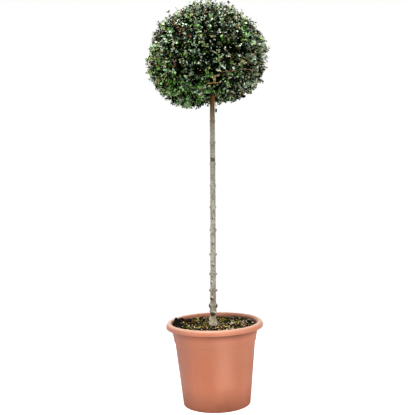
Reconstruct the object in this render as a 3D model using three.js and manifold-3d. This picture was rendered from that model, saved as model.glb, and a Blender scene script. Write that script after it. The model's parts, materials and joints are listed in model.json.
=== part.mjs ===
// Standard lollipop topiary: one clipped ball of small leaves on a straight bare stem, in a moulded
// plastic nursery pot of 30 litres. Millimetres, +Z up, front towards -Y. The origin is the centre of
// the flat underside that the pot stands on.

import Module from 'manifold-3d';
import * as THREE from 'three';
import { mergeVertices } from 'three/addons/utils/BufferGeometryUtils.js';

const GAP = 0.3; // between pieces that rest on each other

// Pot: a flared body, a stepped collar and a rolled rim.
const WALL = 3;
const FLOOR = 4;
const FOOT_RADIUS = 139;
const FOOT_ROUNDING = 3;
const BODY_TOP = { radius: 166, z: 262 };
const COLLAR_FOOT = { radius: 169.4, z: 264.5 };
const COLLAR_TOP = { radius: 174.6, z: 296 };
const NECK_TOP = { radius: 175.4, z: 320 };
const LIP = { radius: 196.6, z: 323.6, reach: 3.5, rise: 3.5 }; // the roll's lower outer corner
const ROLL = { radius: 186, z: 325, reach: 14.1, rise: 17 };
const POT_SEGMENTS = 48;
const DRAIN = { count: 8, radius: 7, circle: 95, sides: 12 };

// Potting mix: its edge and a pad round the stem are level, and it is uneven between them.
const SOIL_Z = 325;
const SOIL_LEVEL_EDGE = 148;
const SOIL_PAD = 34;
const SOIL_FADE = 30; // from level to uneven
const SOIL_UNEVEN = 2;
const SOIL_RINGS = 4;
const MOSS = { azimuth: 161, distance: 157, across: 20, deep: 13, rise: 21 };

// Stem: it leans a little to +X in its pot, bows slightly and flares at the foot.
const STEM_FOOT = { x: -6.6, z: SOIL_Z + GAP };
const STEM_FORK_Z = 1322;
const STEM_LEAN = 0.0288; // sideways for each millimetre of height
const STEM_BOW = { right: 1.4, back: 0.8 };
const STEM_FOOT_RADIUS = 11.6;
const STEM_FORK_RADIUS = 9.9;
const ROOT_FLARE = { reach: 8, height: 24, lobes: 3, depth: 0.22 };
const STEM_SIDES = 14;
const STEM_STEPS = 22;

// Pruned side shoots: opposite pairs of stubs, each pair a quarter turn from the one below.
const FIRST_STUB_Z = 374;
const SHORT_INTERNODE = 32;
const LONG_INTERNODE = 44;
const INTERNODE_SPURT = { at: 9, extra: 8, spread: 1.6 };
const INTERNODE_GROWS = { from: 3, to: 9 };
const LAST_STUB_Z = 1180;
const STUB = { foot: 6.2, tip: 4, sink: 6, rise: 0.25, sides: 6, stagger: 1.5 };
const LOW_STUB = { size: 1, proud: 4.6 };
const HIGH_STUB = { size: 0.72, proud: 1.2 };

// Clipped ball of foliage.
const HEAD = { x: 8, z: 1430, radius: 244, top: 216, bottom: 202 };
const SHOULDER_POWER = 1.86; // under 2 the upper half is slimmer than an ellipsoid
const UNDERSIDE_POWER = 2.5; // over 2 the lower half is boxier
const HEAD_SEGMENTS = 40;
const HEAD_BANDS = 26;
const UNEVEN = 5;
const LOBES = [
  { name: 'lower left', azimuth: 180, elevation: -42, reach: 9, spread: 0.3 },
  { name: 'lower right', azimuth: 0, elevation: -40, reach: -12, spread: 0.35 },
  { name: 'right flank', azimuth: 0, elevation: 0, reach: 8, spread: 0.5 },
  { name: 'upper left', azimuth: 180, elevation: 38, reach: 5, spread: 0.12 },
  { name: 'left dent', azimuth: 180, elevation: 11, reach: -12, spread: 0.03 },
  { name: 'upper right', azimuth: 0, elevation: 62, reach: -5, spread: 0.1 },
  { name: 'front', azimuth: 262, elevation: 6, reach: 5, spread: 0.3 },
  { name: 'back', azimuth: 84, elevation: -12, reach: 7, spread: 0.4 },
];

// Bare space under the ball, where the stem forks, and the groove in front of it.
const POCKET = { radius: 76, rise: 140, z: 1226 };
const NOTCH = { halfWidth: 17, length: 120, rise: 28, forward: 95 };

// Boughs: two opposite pairs and a leader, all from the fork to the foliage.
const BOUGHS = [
  { name: 'bough_left', azimuth: 186, slope: 0.85, z: 1279 },
  { name: 'bough_right', azimuth: 8, slope: 0.95, z: 1283 },
  { name: 'bough_front', azimuth: 276, slope: 1.15, z: 1302 },
  { name: 'bough_back', azimuth: 97, slope: 1.05, z: 1306 },
];
const BOUGH = { foot: 5.6, tip: 3.7, length: 130, curl: 0.28, sides: 10, steps: 8 };
const LEADER = { name: 'bough_leader', foot: 7.4, tip: 5.2, length: 90, drift: 10 };
const BOUGH_SEAT = 0.45; // between the stem's bark and a bough, with room for their facets

const PLASTIC = { color: 0xcd7f5f, roughness: 0.55 };
const SOIL_FINISH = { color: 0x3a2a20, roughness: 1 };
const MOSS_FINISH = { color: 0x2f3a1c, roughness: 1 };
const BARK = { color: 0xaca79c, roughness: 0.9 };
const YOUNG_BARK = { color: 0x8a6a4a, roughness: 0.85 };
const FOLIAGE = { color: 0x3c5a30, roughness: 0.7 };

const wasm = await Module();
wasm.setup();

const group = new THREE.Group();
const radians = THREE.MathUtils.degToRad;
const blend = THREE.MathUtils.smoothstep;
const mix = THREE.MathUtils.lerp;

// Merges shared corners and drops the slivers that collapse on an axis or a pole.
function closed(geometry) {
  const bare = new THREE.BufferGeometry();
  bare.setAttribute('position', geometry.getAttribute('position'));
  bare.setIndex(geometry.getIndex());
  const merged = mergeVertices(bare, 1e-3);
  const index = merged.getIndex().array;
  const kept = [];
  for (let i = 0; i < index.length; i += 3) {
    const [a, b, c] = index.slice(i, i + 3);
    if (a !== b && b !== c && c !== a) {
      kept.push(a, b, c);
    }
  }
  merged.setIndex(kept);
  return merged;
}

function toSolid(geometry) {
  const merged = closed(geometry);
  return new wasm.Manifold(new wasm.Mesh({
    numProp: 3,
    vertProperties: new Float32Array(merged.getAttribute('position').array),
    triVerts: new Uint32Array(merged.getIndex().array),
  }));
}

function toGeometry(solid) {
  const mesh = solid.getMesh();
  const geometry = new THREE.BufferGeometry();
  geometry.setAttribute('position', new THREE.Float32BufferAttribute(mesh.vertProperties, 3));
  geometry.setIndex(Array.from(mesh.triVerts));
  return geometry;
}

function addNode(name, geometry, finish) {
  const faceted = closed(geometry);
  faceted.computeVertexNormals();
  const mesh = new THREE.Mesh(faceted, new THREE.MeshStandardMaterial(finish));
  mesh.name = name;
  group.add(mesh);
}

// Turns an outline of [radius, height] points round +Z.
function turned(outline, segments) {
  const points = outline.map(([radius, z]) => new THREE.Vector2(radius, z));
  return new THREE.LatheGeometry(points, segments).rotateX(Math.PI / 2);
}

function arc(centre, reach, rise, from, to, steps) {
  return Array.from({ length: steps + 1 }, (_, i) => {
    const angle = radians(mix(from, to, i / steps));
    return [centre.radius + reach * Math.cos(angle), centre.z + rise * Math.sin(angle)];
  });
}

function moveVertices(geometry, place) {
  const position = geometry.getAttribute('position');
  const point = new THREE.Vector3();
  for (let i = 0; i < position.count; i += 1) {
    place(point.fromBufferAttribute(position, i));
    position.setXYZ(i, point.x, point.y, point.z);
  }
  return geometry;
}

function ellipsoid(centre, reach, segments, bands) {
  const ball = new THREE.SphereGeometry(1, segments, bands).rotateX(Math.PI / 2);
  return ball.scale(...reach).translate(...centre);
}

function bearing(azimuth, elevation = 0) {
  const flat = Math.cos(radians(elevation));
  return new THREE.Vector3(
    flat * Math.cos(radians(azimuth)),
    flat * Math.sin(radians(azimuth)),
    Math.sin(radians(elevation)),
  );
}

// Pot

// The inner face of the wall, from a given top down to the floor, set in by a clearance.
function innerWall(clearance, top) {
  const up = (FLOOR - FOOT_ROUNDING) / (BODY_TOP.z - FOOT_ROUNDING);
  const foot = { radius: mix(FOOT_RADIUS, BODY_TOP.radius, up), z: FLOOR };
  return [top, NECK_TOP, COLLAR_TOP, COLLAR_FOOT, BODY_TOP, foot]
    .filter(({ z }) => z <= top.z)
    .map(({ radius, z }) => [radius - WALL - clearance, z]);
}

function potOutline() {
  const footRound = { radius: FOOT_RADIUS - FOOT_ROUNDING, z: FOOT_ROUNDING };
  const wallTop = { radius: NECK_TOP.radius, z: ROLL.z };
  const innerReach = ROLL.radius - (NECK_TOP.radius - WALL);
  return [
    [0, 0],
    ...arc(footRound, FOOT_ROUNDING, FOOT_ROUNDING, -90, 0, 2),
    [BODY_TOP.radius, BODY_TOP.z],
    [COLLAR_FOOT.radius, COLLAR_FOOT.z],
    [COLLAR_TOP.radius, COLLAR_TOP.z],
    [NECK_TOP.radius, NECK_TOP.z],
    ...arc(LIP, LIP.reach, LIP.rise, -90, 0, 2),
    ...arc(ROLL, ROLL.reach, ROLL.rise, 0, 90, 5),
    ...arc(ROLL, innerReach, ROLL.rise, 90, 180, 3).slice(1),
    ...innerWall(0, wallTop).slice(1),
    [0, FLOOR],
  ];
}

function makePot() {
  const pot = toSolid(turned(potOutline(), POT_SEGMENTS));
  const drains = Array.from({ length: DRAIN.count }, (_, i) => {
    const place = bearing((360 * (i + 0.5)) / DRAIN.count).multiplyScalar(DRAIN.circle);
    const drill = new THREE.CylinderGeometry(DRAIN.radius, DRAIN.radius, 4 * FLOOR, DRAIN.sides);
    return toSolid(drill.rotateX(Math.PI / 2).translate(place.x, place.y, 0));
  });
  const drilled = drains.reduce((body, drain) => body.subtract(drain), pot);
  addNode('pot', toGeometry(drilled), PLASTIC);
}

// Potting mix and moss

function soilHeight(x, y) {
  const distance = Math.hypot(x, y);
  const fromPad = blend(distance, SOIL_PAD, SOIL_PAD + SOIL_FADE);
  const fromEdge = 1 - blend(distance, SOIL_LEVEL_EDGE - SOIL_FADE, SOIL_LEVEL_EDGE);
  const broad = Math.sin(x / 17 + 1) * Math.cos(y / 21);
  const fine = Math.sin((x - y) / 11);
  return SOIL_Z + SOIL_UNEVEN * (0.7 * broad + 0.3 * fine) * fromPad * fromEdge;
}

function makeSoil() {
  const top = { radius: NECK_TOP.radius, z: SOIL_Z };
  const sides = innerWall(GAP, top).reverse();
  const rings = Array.from({ length: SOIL_RINGS }, (_, i) => [
    mix(SOIL_LEVEL_EDGE, SOIL_PAD, i / (SOIL_RINGS - 1)),
    SOIL_Z,
  ]);
  const outline = [[0, FLOOR + GAP], [sides[0][0], FLOOR + GAP], ...sides.slice(1), ...rings, [0, SOIL_Z]];
  const soil = turned(outline, POT_SEGMENTS);
  moveVertices(soil, (point) => {
    if (point.z > SOIL_Z - 1e-3) {
      point.z = soilHeight(point.x, point.y);
    }
  });
  addNode('soil', soil, SOIL_FINISH);
}

function makeMoss() {
  const lump = toSolid(ellipsoid([0, 0, 0], [MOSS.deep, MOSS.across, MOSS.rise], 14, 8));
  const under = new THREE.BoxGeometry(4 * MOSS.across, 4 * MOSS.across, 2 * MOSS.rise);
  const dome = toGeometry(lump.subtract(toSolid(under.translate(0, 0, -MOSS.rise))));
  const place = bearing(MOSS.azimuth).multiplyScalar(MOSS.distance);
  dome.rotateZ(radians(MOSS.azimuth)).translate(place.x, place.y, SOIL_Z + GAP);
  addNode('moss_clump', dome, MOSS_FINISH);
}

// Stem and boughs

function stemCentre(z) {
  const height = z - STEM_FOOT.z;
  const bow = Math.sin((Math.PI * height) / (STEM_FORK_Z - STEM_FOOT.z));
  const x = STEM_FOOT.x + STEM_LEAN * height + STEM_BOW.right * bow;
  return new THREE.Vector3(x, STEM_BOW.back * bow, z);
}

function stemRadius(z, angle = 0) {
  const height = z - STEM_FOOT.z;
  const taper = mix(STEM_FOOT_RADIUS, STEM_FORK_RADIUS, height / (STEM_FORK_Z - STEM_FOOT.z));
  const flare = ROOT_FLARE.reach * Math.exp(-height / ROOT_FLARE.height);
  return taper + flare * (1 + ROOT_FLARE.depth * Math.cos(ROOT_FLARE.lobes * angle));
}

function makeStem() {
  const shaft = new THREE.CylinderGeometry(1, 1, 1, STEM_SIDES, STEM_STEPS).rotateX(Math.PI / 2);
  moveVertices(shaft, (point) => {
    const share = (point.z + 0.5) ** 1.5; // the rings lie closer together at the flare
    const z = mix(STEM_FOOT.z, STEM_FORK_Z, share);
    const radius = stemRadius(z, Math.atan2(point.y, point.x));
    const centre = stemCentre(z);
    point.set(centre.x + radius * point.x, centre.y + radius * point.y, z);
  });
  return shaft;
}

// The height of each pair of stubs: close together low down, wider apart above.
function stubHeights() {
  const heights = [];
  for (let z = FIRST_STUB_Z, pair = 1; z < LAST_STUB_Z; pair += 1) {
    heights.push(z);
    const grown = blend(pair, INTERNODE_GROWS.from, INTERNODE_GROWS.to);
    const off = (pair - INTERNODE_SPURT.at) / INTERNODE_SPURT.spread;
    z += mix(SHORT_INTERNODE, LONG_INTERNODE, grown) + INTERNODE_SPURT.extra * Math.exp(-off * off);
  }
  return heights;
}

function makeStub(z, azimuth) {
  const share = (z - FIRST_STUB_Z) / (LAST_STUB_Z - FIRST_STUB_Z);
  const proud = mix(LOW_STUB.proud, HIGH_STUB.proud, Math.sqrt(share));
  const size = mix(LOW_STUB.size, HIGH_STUB.size, share);
  const length = STUB.sink + proud;
  const cone = new THREE.CylinderGeometry(STUB.tip * size, STUB.foot * size, length, STUB.sides);
  cone.translate(0, length / 2 - STUB.sink, 0);
  const outward = bearing(azimuth);
  const aim = new THREE.Vector3(outward.x, outward.y, STUB.rise).normalize();
  cone.applyQuaternion(new THREE.Quaternion().setFromUnitVectors(new THREE.Vector3(0, 1, 0), aim));
  const place = stemCentre(z).addScaledVector(outward, stemRadius(z));
  return toSolid(cone.translate(place.x, place.y, place.z));
}

function makeTrunk() {
  const stubs = stubHeights().flatMap((z, pair) => {
    const first = 90 * ((pair + 1) % 2);
    return [makeStub(z, first), makeStub(z + STUB.stagger, first + 180)];
  });
  return stubs.reduce((stem, stub) => stem.add(stub), toSolid(makeStem()));
}

// A limb that tapers along a curve, with flat ends.
function makeLimb(curve, foot, tip) {
  const limb = new THREE.CylinderGeometry(1, 1, 1, BOUGH.sides, BOUGH.steps);
  return moveVertices(limb, (point) => {
    const share = point.y + 0.5;
    const radius = mix(foot, tip, share);
    const along = curve.getTangentAt(share);
    const side = new THREE.Vector3(-along.y, along.x, 1e-4).normalize();
    const across = new THREE.Vector3().crossVectors(side, along);
    const [x, z] = [point.x, point.z];
    point.copy(curve.getPointAt(share));
    point.addScaledVector(side, x * radius).addScaledVector(across, z * radius);
  });
}

function boughCurve({ azimuth, slope, z }) {
  const outward = bearing(azimuth);
  const run = outward.clone().setZ(slope).normalize();
  const start = stemCentre(z);
  const bend = start.clone().addScaledVector(run, BOUGH.length / 2);
  const end = start.clone().addScaledVector(run, BOUGH.length);
  end.z += BOUGH.curl * BOUGH.length;
  return new THREE.QuadraticBezierCurve3(start, bend, end);
}

// The bare space under the foliage, cut back by a clearance.
function pocketSolid(clearance) {
  const reach = POCKET.radius - clearance;
  const centre = stemCentre(POCKET.z);
  return toSolid(ellipsoid(centre.toArray(), [reach, reach, POCKET.rise - clearance], 24, 14));
}

function makeBoughs() {
  const within = pocketSolid(GAP);
  const stemRoom = toSolid(moveVertices(makeStem(), (point) => {
    const centre = stemCentre(point.z);
    const spread = 1 + BOUGH_SEAT / stemRadius(point.z);
    point.set(mix(centre.x, point.x, spread), mix(centre.y, point.y, spread), point.z);
    point.z += point.z > STEM_FORK_Z - 1 ? GAP : 0;
  }));
  for (const bough of BOUGHS) {
    const limb = toSolid(makeLimb(boughCurve(bough), BOUGH.foot, BOUGH.tip));
    addNode(bough.name, toGeometry(limb.subtract(stemRoom).intersect(within)), YOUNG_BARK);
  }
  const start = stemCentre(STEM_FORK_Z);
  const end = start.clone().add(new THREE.Vector3(LEADER.drift, -LEADER.drift / 2, LEADER.length));
  const leader = toSolid(makeLimb(new THREE.LineCurve3(start, end), LEADER.foot, LEADER.tip));
  addNode(LEADER.name, toGeometry(leader.subtract(stemRoom).intersect(within)), YOUNG_BARK);
}

// Foliage

// How far the ball reaches from its centre along a unit direction.
function headReach(direction) {
  const flat = Math.hypot(direction.x, direction.y) / HEAD.radius;
  const upper = direction.z >= 0;
  const rise = Math.abs(direction.z) / (upper ? HEAD.top : HEAD.bottom);
  const power = upper ? SHOULDER_POWER : UNDERSIDE_POWER;
  const plain = (flat ** power + rise ** power) ** (-1 / power);
  const lobes = LOBES.reduce((sum, { azimuth, elevation, reach, spread }) => {
    const away = 1 - direction.dot(bearing(azimuth, elevation));
    return sum + reach * Math.exp(-away / spread);
  }, 0);
  const { x, y, z } = direction;
  const broad = Math.sin(9 * x + 3 * z + 0.6) * Math.sin(8 * y - 4 * z);
  const fine = Math.sin(12 * z + 4 * x + 5 * y) * Math.cos(11 * x - 6 * y);
  return plain + lobes + UNEVEN * (broad + 0.6 * fine);
}

function makeHead() {
  const ball = new THREE.SphereGeometry(1, HEAD_SEGMENTS, HEAD_BANDS).rotateX(Math.PI / 2);
  moveVertices(ball, (point) => {
    point.normalize();
    point.multiplyScalar(headReach(point));
    point.x += HEAD.x;
    point.z += HEAD.z;
  });
  const { x } = stemCentre(POCKET.z);
  const notch = ellipsoid([x, -NOTCH.forward, POCKET.z], [NOTCH.halfWidth, NOTCH.length, NOTCH.rise], 12, 8);
  const opened = toSolid(ball).subtract(pocketSolid(0)).subtract(toSolid(notch));
  addNode('foliage_head', toGeometry(opened), FOLIAGE);
}

makePot();
makeSoil();
makeMoss();
addNode('trunk', toGeometry(makeTrunk()), BARK);
makeBoughs();
makeHead();

export default group;
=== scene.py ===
"""Standard lollipop topiary: a clipped ball of small leaves on a bare stem, in a moulded nursery pot.

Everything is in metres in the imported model's own frame: +Z up, front towards -Y, and the origin at the
centre of the pot's underside.
"""

import json
import logging
import math
from collections.abc import Callable, Sequence
from dataclasses import dataclass, field
from enum import Enum
from functools import partial

import bmesh
import bpy
import numpy as np
from bpy.types import ID, Material, Mesh, Node, NodeSocket, NodeTree, Object, Scene
from mathutils import Matrix, Vector, noise
from mathutils.bvhtree import BVHTree

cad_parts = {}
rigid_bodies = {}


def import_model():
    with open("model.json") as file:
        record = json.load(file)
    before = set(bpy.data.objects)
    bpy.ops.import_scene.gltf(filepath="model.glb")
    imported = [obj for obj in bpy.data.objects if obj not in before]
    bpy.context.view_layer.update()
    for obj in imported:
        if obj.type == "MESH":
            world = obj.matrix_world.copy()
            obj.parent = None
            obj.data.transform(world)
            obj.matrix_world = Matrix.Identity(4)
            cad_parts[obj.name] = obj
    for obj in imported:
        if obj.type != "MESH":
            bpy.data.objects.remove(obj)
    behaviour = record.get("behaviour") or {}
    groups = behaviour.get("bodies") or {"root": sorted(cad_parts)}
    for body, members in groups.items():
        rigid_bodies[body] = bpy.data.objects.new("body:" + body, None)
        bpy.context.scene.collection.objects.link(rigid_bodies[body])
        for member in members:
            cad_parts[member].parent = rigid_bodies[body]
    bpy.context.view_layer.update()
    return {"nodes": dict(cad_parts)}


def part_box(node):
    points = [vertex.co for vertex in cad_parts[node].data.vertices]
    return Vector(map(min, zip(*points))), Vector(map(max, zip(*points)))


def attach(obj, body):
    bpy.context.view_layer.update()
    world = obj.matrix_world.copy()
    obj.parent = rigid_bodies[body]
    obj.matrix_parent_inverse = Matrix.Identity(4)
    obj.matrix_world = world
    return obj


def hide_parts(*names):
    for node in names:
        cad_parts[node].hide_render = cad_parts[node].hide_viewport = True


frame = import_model()

BODY = "root"
FULL_TURN = 2 * math.pi
GOLDEN_ANGLE = math.pi * (3 - math.sqrt(5))
UP = Vector((0, 0, 1))
Rgb = tuple[int, int, int]

log = logging.getLogger("topiary")


# Meshes


def linked(name: str, data: ID | None) -> Object:
    """Makes an object of some data at the origin and links it to the scene."""
    made = bpy.data.objects.new(name, data)
    bpy.context.scene.collection.objects.link(made)
    return made


def to_object(name: str, points: Sequence, faces: Sequence[Sequence[int]], smooth: bool = True) -> Object:
    """Makes a mesh object at the origin.

    Args:
        name: The piece's name.
        points: One row of x, y and z for each vertex.
        faces: The vertices of each face, anticlockwise from outside.
        smooth: Whether the faces are shaded smooth.

    Returns:
        The object, linked to the scene.
    """
    mesh = bpy.data.meshes.new(name)
    rows = np.array([tuple(point) for point in points], float)
    mesh.from_pydata(rows.tolist(), [], [list(map(int, face)) for face in faces])
    mesh.polygons.foreach_set("use_smooth", [smooth] * len(mesh.polygons))
    mesh.update()
    return linked(name, mesh)


def store(mesh: Mesh, name: str, kind: str, values: Sequence) -> None:
    """Gives a mesh an attribute with a value at each vertex.

    Args:
        mesh: The mesh.
        name: The attribute's name.
        kind: Its type.
        values: The values, one or a row for each vertex.
    """
    flat = np.array(values, np.int32 if kind == "INT" else np.float32).ravel()
    field_name = "vector" if kind == "FLOAT_VECTOR" else "value"
    mesh.attributes.new(name, kind, "POINT").data.foreach_set(field_name, flat)


def applied(source: Object) -> Mesh:
    """The plain mesh that an object's modifiers give."""
    bpy.context.view_layer.update()
    evaluated = source.evaluated_get(bpy.context.evaluated_depsgraph_get())
    return bpy.data.meshes.new_from_object(evaluated)


def grid_faces(rows: int, columns: int, first: int = 0) -> list[tuple[int, int, int, int]]:
    """Faces of a tube of rings, each ring joined to the next and round on itself.

    Args:
        rows: How many rings there are.
        columns: How many vertices each ring has.
        first: The first ring's first vertex.

    Returns:
        One quad for each cell, outwards where the rings run anticlockwise and upwards.
    """
    faces = []
    for row in range(rows - 1):
        low, high = first + row * columns, first + (row + 1) * columns
        for column in range(columns):
            ahead = (column + 1) % columns
            faces.append((low + column, low + ahead, high + ahead, high + column))
    return faces


def capped_faces(rows: int, columns: int, first: int = 0) -> list[tuple[int, ...]]:
    """Faces of a tube of rings that two more vertices close, one for the first end and one for the last.

    Args:
        rows: How many rings there are.
        columns: How many vertices each ring has.
        first: The first ring's first vertex. The two closing vertices follow the last ring's.

    Returns:
        The tube's quads and the triangles of its two ends.
    """
    faces = grid_faces(rows, columns, first)
    last, closing = first + (rows - 1) * columns, first + rows * columns
    for column in range(columns):
        ahead = (column + 1) % columns
        faces.append((closing, first + ahead, first + column))
        faces.append((closing + 1, last + column, last + ahead))
    return faces


def ring(radius: float, height: float, count: int) -> list[tuple[float, float, float]]:
    """Points evenly round the upright axis, at a radius and a height."""
    angles = np.arange(count) * FULL_TURN / count
    return [(radius * math.cos(angle), radius * math.sin(angle), height) for angle in angles]


def arc(
    centre: tuple[float, float], reach: float, rise: float, start: float, end: float, steps: int
) -> list[tuple[float, float]]:
    """Points on a stretch of an ellipse.

    Args:
        centre: Its radius and height.
        reach: The half width.
        rise: The half height.
        start: The first angle in degrees, from the outward direction.
        end: The last angle in degrees.
        steps: How many parts the stretch has.

    Returns:
        A list of radius and height pairs.
    """
    angles = np.radians(np.linspace(start, end, steps + 1))
    return [(centre[0] + reach * math.cos(a), centre[1] + rise * math.sin(a)) for a in angles]


def bearing(azimuth: float) -> Vector:
    """The level unit vector at an azimuth in degrees."""
    return Vector((math.cos(math.radians(azimuth)), math.sin(math.radians(azimuth)), 0.0))


def bell(value: float, width: float) -> float:
    """Falls smoothly from 1 at zero to a third at the width, and on towards 0."""
    return math.exp(-((value / width) ** 2))


def smoothstep(value: float, low: float, high: float) -> float:
    """Goes smoothly from 0 at low to 1 at high."""
    share = min(max((value - low) / (high - low), 0.0), 1.0)
    return share * share * (3 - 2 * share)


def settle(piece: Object, slot: str, *nodes: str) -> None:
    """Fixes a finished piece to the plant's body.

    Args:
        piece: The finished piece.
        slot: The record's material slot; not used.
        nodes: The CAD nodes that it stands for.
    """
    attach(piece, BODY)
    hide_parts(*nodes)
    log.info("%s: %d faces", piece.name, len(piece.data.polygons))


# Shader nodes and finishes


class Nodes:
    """Adds and joins the nodes of one tree."""

    def __init__(self, tree: NodeTree) -> None:
        """Takes the tree to fill."""
        self.tree = tree

    def add(self, kind: str, inputs: dict | None = None, **settings: object) -> Node:
        """Adds a node.

        Args:
            kind: The node's type.
            inputs: A socket to join or a value to set, by input name or number.
            settings: The node's own properties.

        Returns:
            The new node.
        """
        node = self.tree.nodes.new(kind)
        for key, value in settings.items():
            setattr(node, key, value)
        for key, value in (inputs or {}).items():
            self.join(value, node.inputs[key])
        return node

    def join(self, value: object, into: NodeSocket) -> None:
        """Links a socket to an input, or sets the input to a plain value.

        Args:
            value: The socket or the value.
            into: The input.
        """
        if isinstance(value, NodeSocket):
            self.tree.links.new(value, into)
        else:
            into.default_value = value

    def math(self, operation: str, first: object, second: object = 0.0) -> NodeSocket:
        """The result of a Math node on two values or sockets."""
        return self.add("ShaderNodeMath", {0: first, 1: second}, operation=operation).outputs[0]

    def times(self, first: object, *others: object) -> NodeSocket:
        """The product of several values or sockets.

        Args:
            first: The first of them.
            others: The others, in the order in which they are multiplied.

        Returns:
            The product's socket.
        """
        for other in others:
            first = self.math("MULTIPLY", first, other)
        return first

    def spread(self, value: object, low: object, high: object, to_low: float = 0.0,
               to_high: float = 1.0) -> NodeSocket:
        """Maps a range of values smoothly to another, and holds it at both ends."""
        inputs = {"Value": value, "From Min": low, "From Max": high, "To Min": to_low, "To Max": to_high}
        return self.add("ShaderNodeMapRange", inputs, interpolation_type="SMOOTHSTEP").outputs["Result"]

    def place(self, scale: Sequence[float] = (1, 1, 1)) -> NodeSocket:
        """Object coordinates, stretched by a scale along each axis."""
        coordinates = self.add("ShaderNodeTexCoord").outputs["Object"]
        return self.add("ShaderNodeMapping", {"Vector": coordinates, "Scale": scale}).outputs["Vector"]

    def cloud(self, where: object, scale: object, detail: float = 4.0,
              roughness: float = 0.55) -> NodeSocket:
        """A noise value over a place."""
        inputs = {"Vector": where, "Scale": scale, "Detail": detail, "Roughness": roughness}
        return self.add("ShaderNodeTexNoise", inputs).outputs["Fac"]

    def group(self, tree: NodeTree, **inputs: object) -> NodeSocket:
        """Places a node group.

        Args:
            tree: The group.
            inputs: A socket or a value for each of its inputs, by name.

        Returns:
            The group's output.
        """
        node = self.tree.nodes.new("ShaderNodeGroup")
        node.node_tree = tree
        for key, value in inputs.items():
            self.join(value, node.inputs[key])
        return node.outputs[0]


def colour(red: float, green: float, blue: float) -> tuple[float, float, float, float]:
    """A display colour as a shader takes it.

    Args:
        red: Its red, from 0 to 255.
        green: Its green.
        blue: Its blue.

    Returns:
        The linear values and a full alpha.
    """
    parts = [value / 255 for value in (red, green, blue)]
    linear = [p / 12.92 if p <= 0.04045 else ((p + 0.055) / 1.055) ** 2.4 for p in parts]
    return (*linear, 1.0)


def new_group(name: str, inputs: dict[str, float], output: str) -> tuple[Nodes, dict, NodeSocket]:
    """Starts a shader node group.

    Args:
        name: The group's name.
        inputs: Each number input's name and starting value.
        output: The number output's name.

    Returns:
        The group's nodes, its input sockets by name, and the socket that its result goes into.
    """
    tree = bpy.data.node_groups.new(name, "ShaderNodeTree")
    for label, value in inputs.items():
        tree.interface.new_socket(label, in_out="INPUT", socket_type="NodeSocketFloat").default_value = value
    tree.interface.new_socket(output, in_out="OUTPUT", socket_type="NodeSocketFloat")
    nodes = Nodes(tree)
    inside = nodes.add("NodeGroupInput")
    given = {label: inside.outputs[label] for label in inputs}
    return nodes, given, nodes.add("NodeGroupOutput").inputs[output]


def patches_group() -> NodeTree:
    """Cloudy patches over a piece, as of weathering, algae or damp.

    Returns:
        A group with the inputs Scale, Cover and Softness and the output Mask.
    """
    nodes, given, mask = new_group("Patches", {"Scale": 8.0, "Cover": 0.5, "Softness": 0.1}, "Mask")
    middle = nodes.math("SUBTRACT", 1.0, given["Cover"])
    low, high = (nodes.math(way, middle, given["Softness"]) for way in ("SUBTRACT", "ADD"))
    nodes.join(nodes.spread(nodes.cloud(nodes.place(), given["Scale"], 5.0, 0.6), low, high), mask)
    return nodes.tree


def grain_group() -> NodeTree:
    """Fine grain for a relief, from coarse crumbs to dust.

    Returns:
        A group with the inputs Coarse, Fine and Share and the output Height.
    """
    nodes, given, height = new_group("Grain", {"Coarse": 60.0, "Fine": 500.0, "Share": 0.4}, "Height")
    coarse = nodes.cloud(nodes.place(), given["Coarse"], 3.0, 0.6)
    fine = nodes.cloud(nodes.place(), given["Fine"], 2.0, 0.5)
    nodes.join(nodes.math("ADD", coarse, nodes.times(fine, given["Share"])), height)
    return nodes.tree


def dust_group() -> NodeTree:
    """Dust that has settled where a surface faces up.

    Returns:
        A group with the inputs Amount and Scale and the output Mask.
    """
    nodes, given, mask = new_group("Settled dust", {"Amount": 0.3, "Scale": 30.0}, "Mask")
    normal = nodes.add("ShaderNodeNewGeometry").outputs["Normal"]
    up = nodes.add("ShaderNodeSeparateXYZ", {0: normal}).outputs["Z"]
    patchy = nodes.spread(nodes.cloud(nodes.place(), given["Scale"], 5.0, 0.65), 0.35, 0.7)
    nodes.join(nodes.times(nodes.spread(up, 0.2, 0.95), patchy, given["Amount"]), mask)
    return nodes.tree


@dataclass(frozen=True)
class Grain:
    """A fine relief: how fine its two kinds of grain are, the second's share, its depth and strength."""

    coarse: float
    fine: float
    share: float = 0.5
    depth: float = 0.001
    strength: float = 1.0


class Effects:
    """The node groups that more than one finish uses, each built once."""

    def __init__(self) -> None:
        """Builds the groups."""
        self.patches = patches_group()
        self.grain = grain_group()
        self.dust = dust_group()


def new_material(name: str, roughness: float, **sockets: object) -> tuple[Material, Nodes, Node]:
    """Starts a material.

    Args:
        name: Its name.
        roughness: The shader's roughness, which may be linked later.
        sockets: Other shader inputs, with underscores for the spaces in their names.

    Returns:
        The material, its nodes and its shader.
    """
    material = bpy.data.materials.new(name)
    material.use_nodes = True
    shader = material.node_tree.nodes["Principled BSDF"]
    shader.inputs["Roughness"].default_value = roughness
    for key, value in sockets.items():
        shader.inputs[key.replace("_", " ")].default_value = value
    return material, Nodes(material.node_tree), shader


class Along(Enum):
    """What a fade runs along: an axis, the distance from the upright axis, or the stem's attribute."""

    X = "X"
    HEIGHT = "Z"
    RADIUS = "radius"
    CUT = "cut"

    def value_in(self, nodes: Nodes) -> NodeSocket:
        """Adds what it measures to a material.

        Args:
            nodes: The material's nodes.

        Returns:
            The socket of the distance or the attribute's number.
        """
        if self is Along.CUT:
            return nodes.add("ShaderNodeAttribute", attribute_name=self.value).outputs["Fac"]
        if self is Along.RADIUS:
            flat = nodes.place((1, 1, 0))
            return nodes.add("ShaderNodeVectorMath", {0: flat}, operation="LENGTH").outputs["Value"]
        return nodes.add("ShaderNodeSeparateXYZ", {0: nodes.place()}).outputs[self.value]


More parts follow.
